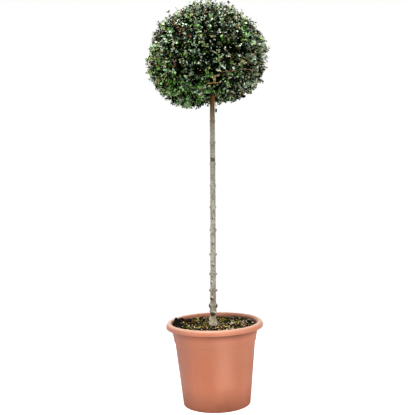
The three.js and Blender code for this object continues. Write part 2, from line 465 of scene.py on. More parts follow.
@dataclass(frozen=True)
class Fade:
    """A share that goes smoothly from its start to its end between two places, and holds at both ends.

    With a middle, the places are distances from there, both ways. A wobble makes the edge uneven.
    """

    along: Along
    low: float
    high: float
    start: float = 0.0
    end: float = 1.0
    middle: float | None = None
    wobble: float = 0.0
    wobble_scale: float = 90.0

    def mask(self, nodes: Nodes, _: Effects) -> NodeSocket:
        """Adds the fade to a material.

        Args:
            nodes: The material's nodes.

        Returns:
            The share's socket.
        """
        value = self.along.value_in(nodes)
        if self.middle is not None:
            value = nodes.math("ABSOLUTE", nodes.math("SUBTRACT", value, self.middle))
        if self.wobble:
            ripple = nodes.math("SUBTRACT", nodes.cloud(nodes.place(), self.wobble_scale), 0.5)
            value = nodes.math("ADD", value, nodes.times(ripple, self.wobble))
        return nodes.spread(value, self.low, self.high, self.start, self.end)


@dataclass(frozen=True)
class Cloud:
    """A share that follows a noise between two of its values. A small stretch draws it out upwards."""

    scale: float
    low: float
    high: float
    start: float = 0.0
    stretch: float = 1.0
    detail: float = 3.0
    roughness: float = 0.55

    def mask(self, nodes: Nodes, _: Effects) -> NodeSocket:
        """Adds the noise to a material and gives the share's socket."""
        cloud = nodes.cloud(nodes.place((1, 1, self.stretch)), self.scale, self.detail, self.roughness)
        return nodes.spread(cloud, self.low, self.high, self.start)


@dataclass(frozen=True)
class Pores:
    """Small scattered pores, whose edges lie between two distances. A stretch above 1 flattens them."""

    scale: float
    low: float
    high: float
    stretch: float = 1.0

    def mask(self, nodes: Nodes, _: Effects) -> NodeSocket:
        """Adds the pores to a material and gives the share's socket."""
        inputs = {"Vector": nodes.place((1, 1, self.stretch)), "Scale": self.scale}
        distance = nodes.add("ShaderNodeTexVoronoi", inputs).outputs["Distance"]
        return nodes.spread(distance, self.low, self.high)


@dataclass(frozen=True)
class Patches:
    """Cloudy patches."""

    scale: float
    cover: float = 0.5
    softness: float = 0.15

    def mask(self, nodes: Nodes, effects: Effects) -> NodeSocket:
        """Adds the patches to a material and gives the share's socket."""
        return nodes.group(effects.patches, Scale=self.scale, Cover=self.cover, Softness=self.softness)


@dataclass(frozen=True)
class Dust:
    """Dust that has settled where the surface faces up."""

    amount: float
    scale: float

    def mask(self, nodes: Nodes, effects: Effects) -> NodeSocket:
        """Adds the dust to a material and gives the share's socket."""
        return nodes.group(effects.dust, Amount=self.amount, Scale=self.scale)


@dataclass(frozen=True)
class Coat:
    """A colour over those below it, as far as all its masks and its share say, and how it roughens them."""

    name: str
    tint: Rgb
    masks: tuple[Fade | Cloud | Pores | Patches | Dust, ...]
    share: float = 1.0
    rough: float = 0.0


@dataclass(frozen=True)
class Finish:
    """A surface with a first colour, coats of others over it from the lowest, and a fine relief."""

    name: str
    tint: Rgb
    coats: tuple[Coat, ...]
    roughness: float
    gloss: float
    grain: Grain

    def make(self, effects: Effects) -> Material:
        """Builds the material.

        Args:
            effects: The shared node groups.

        Returns:
            The material.
        """
        material, nodes, shader = new_material(self.name, self.roughness, Specular_IOR_Level=self.gloss)
        tone, rough = colour(*self.tint), self.roughness
        for coat in self.coats:
            share = nodes.times(*(mask.mask(nodes, effects) for mask in coat.masks))
            if coat.share != 1.0:
                share = nodes.times(share, coat.share)
            mix = {0: share, 6: tone, 7: colour(*coat.tint)}
            tone = nodes.add("ShaderNodeMix", mix, data_type="RGBA", label=coat.name).outputs[2]
            if coat.rough:
                rough = nodes.math("ADD", rough, nodes.times(share, coat.rough))
        nodes.join(tone, shader.inputs["Base Color"])
        nodes.join(rough, shader.inputs["Roughness"])
        grain = self.grain
        height = nodes.group(effects.grain, Coarse=grain.coarse, Fine=grain.fine, Share=grain.share)
        inputs = {"Height": height, "Distance": grain.depth, "Strength": grain.strength}
        nodes.join(nodes.add("ShaderNodeBump", inputs).outputs["Normal"], shader.inputs["Normal"])
        return material


@dataclass(frozen=True)
class PotPlastic(Finish):
    """Terracotta-coloured moulded plastic: damp inside and splashed at the foot, with painted light: a
    painted highlight on the rim and down the front, painted reflection bands, lighter above, and painted
    shade on the left, under the rim, inside and at the foot.
    """

    name: str = "pot plastic"
    tint: Rgb = (203, 119, 83)
    coats: tuple[Coat, ...] = (
        Coat("faded patches", (219, 139, 105), (Patches(5.0, 0.5, 0.16),), 0.30),
        Coat("worn patches", (192, 114, 86), (Patches(11.0, 0.42, 0.12),), 0.30, rough=0.4),
        # Broad upright bands of painted reflection over the body.
        Coat("faded bands", (219, 139, 105), (Cloud(13.0, 0.45, 0.68, stretch=0.1, detail=2.0),), 0.35),
        # Painted light from above: the body lighter towards the top.
        Coat("faded above", (219, 139, 105), (Fade(Along.HEIGHT, 0.16, 0.29, end=0.5),)),
        # A painted highlight in an upright streak down the front of the body.
        Coat(
            "sunned front", (226, 148, 116),
            (Fade(Along.X, 0.062, 0.0, end=0.75, middle=0.036), Fade(Along.HEIGHT, 0.06, 0.13)),
        ),
        # Painted shade down the left side.
        Coat("dull side", (170, 108, 90), (Fade(Along.X, -0.06, -0.15, end=0.7),)),
        Coat("dusty streaks", (226, 190, 166), (Cloud(60.0, 0.55, 0.8, stretch=0.06),), 0.05),
        # Soil splash, mixed with painted shade that darkens the foot, less towards the right.
        Coat(
            "splashed foot", (146, 84, 56),
            (Fade(Along.HEIGHT, 0.115, -0.03), Cloud(11.0, 0.25, 0.7, start=0.75),
             Fade(Along.X, 0.04, 0.14, 0.95, 0.4)),
            1.25, rough=0.3,
        ),
        # Painted shadow on the wall just under the rim, stronger towards the right.
        Coat(
            "corner under the rim", (146, 84, 56),
            (Fade(Along.HEIGHT, 0.288, 0.3195), Fade(Along.HEIGHT, 0.3212, 0.3204),
             Fade(Along.X, -0.05, 0.12, 0.55, 0.95)),
        ),
        Coat(
            "shaded roll", (178, 102, 62),
            (Fade(Along.RADIUS, 0.1835, 0.1795), Fade(Along.HEIGHT, 0.322, 0.324)), 0.75,
        ),
        # Damp staining on the inner wall above the soil, with painted shade that deepens towards both sides.
        Coat(
            "damp wall", (92, 54, 38),
            (Fade(Along.RADIUS, 0.1766, 0.1736), Fade(Along.HEIGHT, 0.322, 0.324),
             Fade(Along.X, 0.03, 0.14, 0.45, middle=-0.02)),
        ),
        # Near-black on the inner face of the roll at the left.
        Coat(
            "earthy roll", (44, 30, 24),
            (Fade(Along.RADIUS, 0.1805, 0.1775), Fade(Along.HEIGHT, 0.322, 0.324),
             Fade(Along.X, -0.130, -0.162, end=0.9)),
        ),
        # A painted highlight along the top of the rim.
        Coat(
            "bleached rim", (244, 197, 170),
            (Fade(Along.HEIGHT, 0.334, 0.342), Fade(Along.RADIUS, 0.1805, 0.1835)), 0.74,
        ),
        Coat("dust", (226, 190, 166), (Dust(0.3, 45.0),)),
    )
    roughness: float = 0.40
    gloss: float = 0.45
    grain: Grain = Grain(220.0, 1400.0, 0.6, 0.0004, 0.3)


@dataclass(frozen=True)
class BarkFinish(Finish):
    """Pale smooth bark with flecks, a brown ring where a tie was, and young orange-brown bark at the top.

    The stem's attribute "cut" is 1 on a stub's cut face, darkened as painted shade, and -1 on its callus,
    lightened as a painted highlight.
    """

    name: str = "bark"
    tint: Rgb = (205, 198, 182)
    coats: tuple[Coat, ...] = (
        Coat("grey patches", (174, 167, 152), (Patches(34.0, 0.5, 0.14),), rough=0.12),
        Coat("flecks", (96, 88, 74), (Cloud(220.0, 0.50, 0.61, stretch=0.7, roughness=0.6),), 0.7),
        Coat("pores", (96, 88, 74), (Pores(150.0, 0.26, 0.12, stretch=2.4),), 0.55),
        Coat("algae", (132, 140, 108), (Patches(15.0, 0.46, 0.08), Fade(Along.HEIGHT, 0.75, 0.4, 0.1, 0.38))),
        Coat(
            "ring of the tie", (108, 88, 52),
            (Fade(Along.HEIGHT, 1.000, 1.005, wobble=0.014), Fade(Along.HEIGHT, 1.020, 1.015, wobble=0.014)),
            0.95,
        ),
        Coat("browner bark", (122, 100, 63), (Fade(Along.HEIGHT, 1.09, 1.224, end=0.95, wobble=0.014),)),
        Coat("browner foot", (122, 100, 63), (Fade(Along.HEIGHT, 0.50, 0.44, end=0.3),)),
        Coat("young bark", (154, 104, 58), (Fade(Along.HEIGHT, 1.216, 1.236, wobble=0.014),), 0.9),
        Coat(
            "scuffed foot", (226, 208, 172),
            (Cloud(55.0, 0.44, 0.6, stretch=0.8, detail=2.0), Fade(Along.HEIGHT, 0.40, 0.36, end=0.65)),
        ),
        # Pale callus, partly a painted highlight on the stubs' lit tops.
        Coat("callus", (236, 228, 208), (Fade(Along.CUT, 0.0, -1.0),)),
        # Dark cut faces, partly painted shade on the stubs' lower sides.
        Coat("cut faces", (72, 54, 44), (Fade(Along.CUT, 0.0, 1.0),)),
    )
    roughness: float = 0.72
    gloss: float = 0.25
    grain: Grain = Grain(420.0, 1600.0, 0.5, 0.0012, 0.6)


@dataclass(frozen=True)
class YoungBark(Finish):
    """Young orange-brown bark with darker patches and pale pores."""

    name: str = "young bark"
    tint: Rgb = (156, 110, 66)
    coats: tuple[Coat, ...] = (
        Coat("brown patches", (112, 80, 50), (Patches(60.0, 0.5, 0.16),)),
        Coat("pores", (196, 160, 116), (Pores(260.0, 0.22, 0.1),), 0.6),
    )
    roughness: float = 0.75
    gloss: float = 0.3
    grain: Grain = Grain(500.0, 1800.0, 0.5, 0.0008, 0.6)


def crumbly(
    name: str, tone: Rgb, other: Rgb, scale: float, roughness: float, relief: float = 0.001
) -> Finish:
    """A rough natural finish in two tones, for potting mix, bark chips, moss, stones and twigs.

    Args:
        name: The material's name.
        tone: Its first colour.
        other: The colour of its patches.
        scale: How fine its patches and grain are.
        roughness: The shader's roughness.
        relief: How deep its grain is, in metres.

    Returns:
        The finish.
    """
    coats = (Coat("other tone", other, (Patches(scale),)),)
    return Finish(name, tone, coats, roughness, 0.1, Grain(4 * scale, 18 * scale, depth=relief))


@dataclass(frozen=True)
class PlainTint:
    """A plain tint for leaves, which are too fine to carry a pattern."""

    name: str
    tint: Rgb
    roughness: float
    gloss: float

    def make(self) -> Material:
        """Builds the material."""
        inputs = {"Specular_IOR_Level": self.gloss, "Coat_Weight": self.gloss, "Coat_Roughness": 0.2}
        return new_material(self.name, self.roughness, Base_Color=colour(*self.tint), **inputs)[0]


# Geometry Nodes


def geometry_tree(name: str, inputs: dict[str, str]) -> tuple[Nodes, Node, Node]:
    """Starts a geometry node tree with a geometry in and out.

    Args:
        name: The tree's name.
        inputs: Each further input's name and socket type.

    Returns:
        The tree's nodes, its input node and its output node.
    """
    tree = bpy.data.node_groups.new(name, "GeometryNodeTree")
    tree.interface.new_socket("Geometry", in_out="INPUT", socket_type="NodeSocketGeometry")
    for label, kind in inputs.items():
        tree.interface.new_socket(label, in_out="INPUT", socket_type=kind)
    tree.interface.new_socket("Geometry", in_out="OUTPUT", socket_type="NodeSocketGeometry")
    nodes = Nodes(tree)
    return nodes, nodes.add("NodeGroupInput"), nodes.add("NodeGroupOutput")


def dress(nodes: Nodes, made: Node, given: Node, out: Node) -> NodeTree:
    """Ends a geometry node tree: makes its instances real and sets their material.

    Args:
        nodes: The tree's nodes.
        made: The node whose first output is the geometry.
        given: The tree's input node, which has the input Finish.
        out: The tree's output node.

    Returns:
        The tree.
    """
    real = nodes.add("GeometryNodeRealizeInstances", {"Geometry": made.outputs[0]})
    inputs = {"Geometry": real.outputs[0], "Material": given.outputs["Finish"]}
    dressed = nodes.add("GeometryNodeSetMaterial", inputs)
    nodes.join(dressed.outputs[0], out.inputs["Geometry"])
    return nodes.tree


def attribute(nodes: Nodes, name: str, kind: str) -> NodeSocket:
    """The value of a named attribute in a geometry node tree."""
    return nodes.add("GeometryNodeInputNamedAttribute", {"Name": name}, data_type=kind).outputs[0]


def scatter_tree() -> NodeTree:
    """Sets a copy of one of several kinds at each point.

    The points carry the attributes "turn" (Euler angles), "size" and "kind".

    Returns:
        A tree with the inputs Kinds, Size, Jitter, Seed and Finish.
    """
    kinds = {
        "Kinds": "NodeSocketCollection",
        "Size": "NodeSocketFloat",
        "Jitter": "NodeSocketFloat",
        "Seed": "NodeSocketInt",
        "Finish": "NodeSocketMaterial",
    }
    nodes, given, out = geometry_tree("Scatter", kinds)
    info = {"Collection": given.outputs["Kinds"], "Separate Children": True, "Reset Children": True}
    collection = nodes.add("GeometryNodeCollectionInfo", info)
    stray = given.outputs["Jitter"]
    low, high = nodes.math("SUBTRACT", 1.0, stray), nodes.math("ADD", 1.0, stray)
    inputs = {2: low, 3: high, "Seed": given.outputs["Seed"]}
    jitter = nodes.add("FunctionNodeRandomValue", inputs, data_type="FLOAT")
    size = nodes.times(attribute(nodes, "size", "FLOAT"), given.outputs["Size"], jitter.outputs[1])
    copies = nodes.add(
        "GeometryNodeInstanceOnPoints",
        {
            "Points": given.outputs["Geometry"],
            "Instance": collection.outputs[0],
            "Pick Instance": True,
            "Instance Index": attribute(nodes, "kind", "INT"),
            "Rotation": attribute(nodes, "turn", "FLOAT_VECTOR"),
            "Scale": size,
        },
    )
    return dress(nodes, copies, given, out)


def limb_tree() -> NodeTree:
    """Gives each curve a round skin as thick as its own radius.

    Returns:
        A tree with the inputs Sides, Thickness and Finish.
    """
    kinds = {"Sides": "NodeSocketInt", "Thickness": "NodeSocketFloat", "Finish": "NodeSocketMaterial"}
    nodes, given, out = geometry_tree("Limbs", kinds)
    inputs = {"Resolution": given.outputs["Sides"], "Radius": 1.0}
    profile = nodes.add("GeometryNodeCurvePrimitiveCircle", inputs)
    skin = nodes.add(
        "GeometryNodeCurveToMesh",
        {
            "Curve": given.outputs["Geometry"],
            "Profile Curve": profile.outputs["Curve"],
            "Scale": nodes.times(attribute(nodes, "radius", "FLOAT"), given.outputs["Thickness"]),
            "Fill Caps": True,
        },
    )
    smooth = nodes.add("GeometryNodeSetShadeSmooth", {"Geometry": skin.outputs[0]})
    return dress(nodes, smooth, given, out)


def grown(
    name: str, seedling: Object, tree: NodeTree, inputs: dict[str, object]
) -> Object:
    """Runs a geometry node tree on an object and keeps the result as a plain mesh.

    Args:
        name: The new piece's name.
        seedling: The object that the tree starts from. It is removed.
        tree: The geometry node tree.
        inputs: The tree's inputs by name.

    Returns:
        The new piece.
    """
    modifier = seedling.modifiers.new(name, "NODES")
    modifier.node_group = tree
    sockets = {item.name: item.identifier for item in tree.interface.items_tree if item.in_out == "INPUT"}
    for label, value in inputs.items():
        modifier[sockets[label]] = value
    mesh = applied(seedling)
    mesh.name = name
    bpy.data.objects.remove(seedling)
    return linked(name, mesh)


@dataclass
class Scatter:
    """Points that each take a copy of one of several kinds."""

    places: list = field(default_factory=list)
    turns: list = field(default_factory=list)
    sizes: list = field(default_factory=list)
    kinds: list = field(default_factory=list)

    def put(self, place: Vector, turn: Matrix, size: float, kind: int) -> None:
        """Adds one copy.

        Args:
            place: Where it stands.
            turn: How it is turned.
            size: Its scale.
            kind: The number of its shape.
        """
        self.places.append(tuple(place))
        self.turns.append(tuple(turn.to_euler()))
        self.sizes.append(size)
        self.kinds.append(kind)

    def grow(
        self, name: str, shapes: Sequence[tuple[np.ndarray, list]], finish: Material, tree: NodeTree,
        jitter: float, seed: int, smooth: bool = True,
    ) -> Object:
        """Makes all the copies as one plain mesh.

        Args:
            name: The piece's name.
            shapes: Each kind's points and faces.
            finish: The piece's material.
            tree: The scatter tree.
            jitter: How far each copy's size may stray from its own.
            seed: The seed of that straying.
            smooth: Whether the copies are shaded smooth.

        Returns:
            The new piece.
        """
        kinds = bpy.data.collections.new(name)
        for number, (points, faces) in enumerate(shapes):
            kind = to_object(f"{name} {number:02d}", points, faces, smooth)
            bpy.context.scene.collection.objects.unlink(kind)
            kinds.objects.link(kind)
        mesh = bpy.data.meshes.new(name + " points")
        mesh.from_pydata(self.places, [], [])
        store(mesh, "turn", "FLOAT_VECTOR", self.turns)
        store(mesh, "size", "FLOAT", self.sizes)
        store(mesh, "kind", "INT", self.kinds)
        inputs = {"Kinds": kinds, "Size": 1.0, "Jitter": jitter, "Seed": seed, "Finish": finish}
        made = grown(name, linked(name + " points", mesh), tree, inputs)
        for kind in list(kinds.objects):
            bpy.data.objects.remove(kind)
        bpy.data.collections.remove(kinds)
        return made


def scattered(turn: float, lean: float, roll: float) -> Matrix:
    """A turn about the upright axis after two tilts, in radians."""
    tilt = Matrix.Rotation(lean, 3, "X") @ Matrix.Rotation(roll, 3, "Y")
    return Matrix.Rotation(turn, 3, "Z") @ tilt


class Limbs:
    """Curves with a radius at each point, skinned together as one piece."""

    def __init__(self, name: str) -> None:
        """Starts with no limbs."""
        self.name = name
        self.curve = bpy.data.curves.new(name, "CURVE")
        self.curve.dimensions = "3D"

    def put(self, points: Sequence[Vector], radii: Sequence[float]) -> None:
        """Adds one limb.

        Args:
            points: The points that it runs through.
            radii: Its radius at each.
        """
        spline = self.curve.splines.new("POLY")
        spline.points.add(len(points) - 1)
        for knot, point, radius in zip(spline.points, points, radii):
            knot.co = (*point, 1.0)
            knot.radius = radius

    def grow(self, sides: int, finish: Material, tree: NodeTree) -> Object:
        """Makes all the limbs as one plain mesh.

        Args:
            sides: How many sides each limb has.
            finish: The piece's material.
            tree: The limb tree.

        Returns:
            The new piece.
        """
        inputs = {"Sides": sides, "Thickness": 1.0, "Finish": finish}
        return grown(self.name, linked(self.name + " curves", self.curve), tree, inputs)


def bowed(start: Vector, start_way: Vector, end: Vector, end_way: Vector, steps: int) -> list[Vector]:
    """Points on a smooth curve that leaves and arrives along given ways.

    Args:
        start: The first point.
        start_way: The way in which it leaves, as long as its pull.
        end: The last point.
        end_way: The way in which it arrives, as long as its pull.
        steps: How many parts the curve has.

    Returns:
        The points.
    """
    points = []
    for step in range(steps + 1):
        t = step / steps
        a, b = 2 * t**3 - 3 * t**2 + 1, t**3 - 2 * t**2 + t
        c, d = -2 * t**3 + 3 * t**2, t**3 - t**2
        points.append(a * start + b * start_way + c * end + d * end_way)
    return points


# Pot


@dataclass
class Pot:
    """The moulded pot: a flared body, a stepped collar and a rolled rim."""

    effects: Effects
    wall: float = 0.003
    floor: float = 0.004
    foot_radius: float = 0.139
    foot_rounding: float = 0.0032
    body_top: tuple = (0.1660, 0.262)
    collar_foot: tuple = (0.1694, 0.2645)
    collar_top: tuple = (0.1746, 0.296)
    neck_top: tuple = (0.1754, 0.320)
    lip: tuple = (0.1968, 0.3232)
    lip_round: float = 0.0031
    roll_centre: tuple = (0.186, 0.325)
    roll_reach: float = 0.0141
    roll_rise: float = 0.017
    drain_count: int = 8
    drain_radius: float = 0.007
    drain_circle: float = 0.095
    drain_sides: int = 20
    corner_round: float = 0.004
    sharp_angle: float = 50.0
    segments: int = 180

    def inner_radius(self, height: float) -> float:
        """The radius of the wall's inner face at a height."""
        knots = [(self.foot_radius, self.foot_rounding), self.body_top, self.collar_foot, self.collar_top,
                 self.neck_top]
        return float(np.interp(height, [z for _, z in knots], [r for r, _ in knots])) - self.wall

    @staticmethod
    def between(start: tuple, end: tuple, shares: Sequence[float]) -> list[tuple[float, float]]:
        """Points at some shares of the straight way from one point to another."""
        return [(start[0] + (end[0] - start[0]) * t, start[1] + (end[1] - start[1]) * t) for t in shares]

    def outline(self) -> list[tuple[float, float]]:
        """The wall's section, from the middle of the underside round to the middle of the floor.

        Returns:
            Radius and height pairs.
        """
        foot = (self.foot_radius - self.foot_rounding, self.foot_rounding)
        body_foot, (step, step_z) = (self.foot_radius, self.foot_rounding), self.body_top
        edge, edge_z = self.collar_foot
        outside = [(0.04, 0.0), (0.08, 0.0), (0.12, 0.0)]
        outside += arc(foot, self.foot_rounding, self.foot_rounding, -90, 0, 6)
        shares = (0.03, 0.12, 0.25, 0.4, 0.55, 0.7, 0.82, 0.92, 0.97)
        outside += self.between(body_foot, self.body_top, shares)
        outside += [(step - 0.0001, step_z - 0.0006), (step + 0.0006, step_z)]
        outside += [(edge - 0.0010, edge_z - 0.0007), (edge, edge_z + 0.0001)]
        outside += [(edge + 0.0005, edge_z + 0.0012), (edge + 0.0007, edge_z + 0.0034)]
        outside += self.between(self.collar_foot, self.collar_top, (0.3, 0.6, 0.9))
        neck, neck_z = self.neck_top
        under_lip = neck_z + 0.0007
        outside += [self.collar_top, (neck - 0.0003, self.collar_top[1] + 0.007), self.neck_top]
        outside += [(neck + 0.0008, under_lip), (self.lip[0] - 0.0045, under_lip)]
        outside += arc(self.lip, self.lip_round, self.lip_round, -96, 20, 8)
        outside += arc(self.roll_centre, self.roll_reach, self.roll_rise, 8, 90, 16)
        inward = self.roll_centre[0] - (neck - self.wall)
        outside += arc(self.roll_centre, inward, self.roll_rise, 90, 180, 14)[1:]
        heights = (0.32, 0.31, 0.296, 0.28, 0.2645, 0.262, 0.2, 0.15, 0.1, 0.05, 0.012)
        inside = [(self.inner_radius(z), z) for z in heights]
        corner = (self.inner_radius(self.floor) - self.corner_round, self.floor + self.corner_round)
        inside += arc(corner, self.corner_round, self.corner_round, 0, -90, 4)
        return outside + inside + [(0.12, self.floor), (0.05, self.floor)]

    def build(self) -> None:
        """Builds and dresses the pot."""
        outline = self.outline()
        points = [point for radius, height in outline for point in ring(radius, height, self.segments)]
        points += [(0, 0, 0), (0, 0, self.floor)]
        pot = to_object("moulded_pot", points, capped_faces(len(outline), self.segments))
        self.drill(pot)
        pot.data.materials.append(PotPlastic().make(self.effects))
        settle(pot, "pot_plastic", "pot")

    def drill(self, pot: Object) -> None:
        """Cuts the drainage holes through the floor, with a Boolean that is applied.

        Args:
            pot: The pot, whose mesh is replaced.
        """
        points, faces, sides = [], [], self.drain_sides
        for number in range(self.drain_count):
            middle = bearing(360 * (number + 0.5) / self.drain_count) * self.drain_circle
            first = len(points)
            for height in (-self.floor, 2 * self.floor):
                for side in range(sides):
                    points.append(middle + bearing(360 * side / sides) * self.drain_radius + UP * height)
            faces += grid_faces(2, sides, first)
            faces.append(tuple(range(first + sides - 1, first - 1, -1)))
            faces.append(tuple(range(first + sides, first + 2 * sides)))
        drills = to_object("drills", points, faces)
        hole = pot.modifiers.new("drains", "BOOLEAN")
        hole.object, hole.operation, hole.solver = drills, "DIFFERENCE", "EXACT"
        mesh = applied(pot)
        pot.modifiers.clear()
        pot.data = mesh
        mesh.polygons.foreach_set("use_smooth", [True] * len(mesh.polygons))
        mesh.set_sharp_from_angle(angle=math.radians(self.sharp_angle))
        bpy.data.objects.remove(drills)


# Potting mix


def crumb_shape(rng: np.random.Generator, reach: Sequence[float], rough: float) -> tuple[np.ndarray, list]:
    """One small uneven lump.

    Args:
        rng: The source of its unevenness.
        reach: Its half width, half length and half height, for a unit size.
        rough: How far a corner may stray, as a share of its distance.

    Returns:
        Its points and faces.
    """
    lump = bmesh.new()
    bmesh.ops.create_icosphere(lump, subdivisions=1, radius=1.0)
    points = np.array([corner.co[:] for corner in lump.verts])
    faces = [[corner.index for corner in face.verts] for face in lump.faces]
    lump.free()
    points *= 1 + rough * rng.uniform(-1, 1, (len(points), 1))
    return points * np.array(reach), faces


class Litter(Enum):
    """What lies on the potting mix: name, size in metres, count, kinds' proportions, roughness and tones."""

    DARK_BARK = ("dark_bark_chips", 0.0050, 900, (1.0, 0.66, 0.46), 0.35, (25, 18, 12), (10, 7, 5))
    BROWN_BARK = ("brown_bark_chips", 0.0040, 520, (1.0, 0.55, 0.42), 0.35, (148, 99, 56), (78, 51, 28))
    TAN_BARK = ("tan_bark_chips", 0.0043, 265, (1.0, 0.62, 0.5), 0.3, (246, 212, 156), (190, 146, 92))
    STRAW = ("straw_bits", 0.0046, 120, (1.0, 0.3, 0.26), 0.2, (238, 224, 142), (190, 178, 96))
    PALE_GRIT = ("pale_grit", 0.0031, 140, (1.0, 0.8, 0.8), 0.25, (252, 244, 216), (222, 210, 176))
    MOSS = ("moss_tufts", 0.0030, 460, (1.0, 1.0, 0.8), 0.3, (58, 74, 30), (24, 34, 13))
    BRIGHT_MOSS = ("bright_moss_tufts", 0.0030, 90, (1.0, 1.0, 0.9), 0.3, (198, 198, 74), (122, 132, 42))


@dataclass
class PottingMix:
    """Crumbly potting mix with bark chips, moss, grit and a dark clump against the rim."""

    effects: Effects
    pot: Pot
    level: float = 0.3245
    wall_gap: float = 0.0004
    rings: int = 96
    segments: int = 200
    crumb_height: float = 0.0042
    rolling: float = 0.0020
    flat_round_stem: tuple = (0.02, 0.035)
    wall_heap: float = 0.003
    wall_heap_run: tuple = (0.13, 0.165)
    clump_mound: float = 0.010
    clump_spread: float = 0.028
    seed: int = 30
    moss_patches: tuple = (
        (-0.096, 0.109, 0.030), (0.115, 0.060, 0.026), (-0.117, 0.011, 0.026), (-0.133, -0.020, 0.022),
        (-0.064, 0.003, 0.020), (0.036, 0.040, 0.024), (0.060, 0.110, 0.022), (-0.020, -0.070, 0.030),
        (0.095, -0.070, 0.030), (-0.090, -0.085, 0.028), (0.010, 0.140, 0.026), (0.145, -0.010, 0.018),
        (0.0, 0.0, 0.2),
    )
    bright_patches: tuple = (
        (-0.052, -0.024, 0.022), (-0.076, 0.092, 0.022), (-0.036, 0.044, 0.024), (0.050, -0.048, 0.024),
        (0.082, 0.040, 0.022), (-0.10, -0.045, 0.024), (0.03, 0.095, 0.024), (0.0, 0.0, 0.2),
    )
    white_stone: tuple = (0.071, 0.019)
    clump_azimuth: float = 161.0
    clump_distance: float = 0.157
    clump_foot: float = 0.322
    clump_lumps: tuple = (
        (-0.162, 0.055, 0.3505, 0.0084), (-0.139, 0.062, 0.3475, 0.0125), (-0.150, 0.045, 0.3390, 0.0140),
        (-0.146, 0.030, 0.3350, 0.0140), (-0.122, 0.078, 0.3355, 0.0100), (-0.158, 0.018, 0.3330, 0.0100),
    )
    clods: int = 150
    clod_size: float = 0.0052
    clod_spread: float = 30.0
    clod_depth: float = 0.034
    clod_heap: float = 0.004
    heap_spread: float = 11.0
    kinds: int = 5
    jitter: float = 0.1
    tilt: float = 0.6
    sizes: tuple = (0.55, 1.45)
    clod_sizes: tuple = (0.6, 1.25)
    stem_gap: float = 0.024
    stem_x: float = -0.006

    def surface(self, x: float, y: float) -> float:
        """The height of the crumbly surface at a place.

        Args:
            x: The place's x.
            y: Its y.

        Returns:
            The height in metres, heaped at the wall and under the clump and flatter round the stem.
        """
        place = Vector((x, y, 0.0))
        rolling = self.rolling * noise.noise(place * 14 + Vector((3, 7, 0)))
        crumbs = self.crumb_height * noise.fractal(place * 75, 0.9, 2.1, 4)
        distance = math.hypot(x, y)
        flat = 0.35 + 0.65 * smoothstep(distance, *self.flat_round_stem)
        heaped = self.wall_heap * smoothstep(distance, *self.wall_heap_run) * (0.4 + noise.noise(place * 20))
        clump = bearing(self.clump_azimuth) * self.clump_distance
        mound = self.clump_mound * bell(math.hypot(x - clump.x, y - clump.y), self.clump_spread)
        return self.level + (rolling + 0.55 * crumbs) * flat + heaped + mound

    def build(self) -> None:
        """Builds and dresses the potting mix and what lies on it."""
        rng = np.random.default_rng(self.seed)
        self.build_ground()
        scatter = scatter_tree()
        for litter in Litter:
            self.build_litter(litter, rng, scatter)
        self.build_clump()
        self.build_clods(rng, scatter)
        self.build_stone(rng)

    def build_ground(self) -> None:
        """Builds the mix itself, closed down to the pot's floor."""
        edge = self.pot.inner_radius(self.level) - self.wall_gap
        points = []
        heights = [self.pot.floor + self.wall_gap, 0.05, 0.15, 0.243, 0.252, 0.296, 0.312]
        for height in heights:
            points += ring(self.pot.inner_radius(height) - self.wall_gap, height, self.segments)
        for radius in np.linspace(edge, edge / self.rings, self.rings):
            points += [(x, y, self.surface(x, y)) for x, y, _ in ring(radius, 0.0, self.segments)]
        points += [(0, 0, heights[0]), (0, 0, self.surface(0, 0))]
        ground = to_object("potting_mix", points, capped_faces(len(heights) + self.rings, self.segments))
        finish = crumbly("potting mix", (42, 31, 23), (17, 12, 9), 60.0, 0.92, 0.002)
        ground.data.materials.append(finish.make(self.effects))
        settle(ground, "potting_mix", "soil")

    def spots(self, litter: Litter, rng: np.random.Generator) -> list[tuple[float, float]]:
        """Where the pieces of one kind of litter lie.

        Args:
            litter: The kind of litter.
            rng: The source of their places.

        Returns:
            The x and y of each piece.
        """
        count = litter.value[2]
        patches = {Litter.MOSS: self.moss_patches, Litter.BRIGHT_MOSS: self.bright_patches}.get(litter)
        limit = self.pot.inner_radius(self.level) - 1.3 * litter.value[1]
        found = []
        while len(found) < count:
            if patches:
                x, y, spread = patches[rng.integers(len(patches))]
                x, y = x + rng.normal(0, spread / 2), y + rng.normal(0, spread / 2)
            else:
                radius, angle = limit * math.sqrt(rng.random()), rng.random() * FULL_TURN
                x, y = radius * math.cos(angle), radius * math.sin(angle)
            if self.stem_gap < math.hypot(x - self.stem_x, y) and math.hypot(x, y) < limit:
                found.append((x, y))
        return found

    def build_litter(self, litter: Litter, rng: np.random.Generator, scatter: NodeTree) -> None:
        """Builds one kind of litter.

        Args:
            litter: The kind of litter.
            rng: The source of its shapes, places and turns.
            scatter: The scatter tree.
        """
        name, size, _, reach, rough, tone, other = litter.value
        shapes = [crumb_shape(rng, reach, rough) for _ in range(self.kinds)]
        layout = Scatter()
        for x, y in self.spots(litter, rng):
            place = Vector((x, y, self.surface(x, y) + size * reach[2] * 0.6))
            lean, roll = rng.normal(0, self.tilt), rng.normal(0, self.tilt)
            turn = scattered(rng.random() * FULL_TURN, lean, roll)
            layout.put(place, turn, size * rng.uniform(*self.sizes), int(rng.integers(self.kinds)))
        finish = crumbly(name.replace("_", " "), tone, other, 160.0, 0.88)
        piece = layout.grow(name, shapes, finish.make(self.effects), scatter, self.jitter, self.seed, False)
        settle(piece, "moss" if "moss" in name else "potting_mix", "soil")

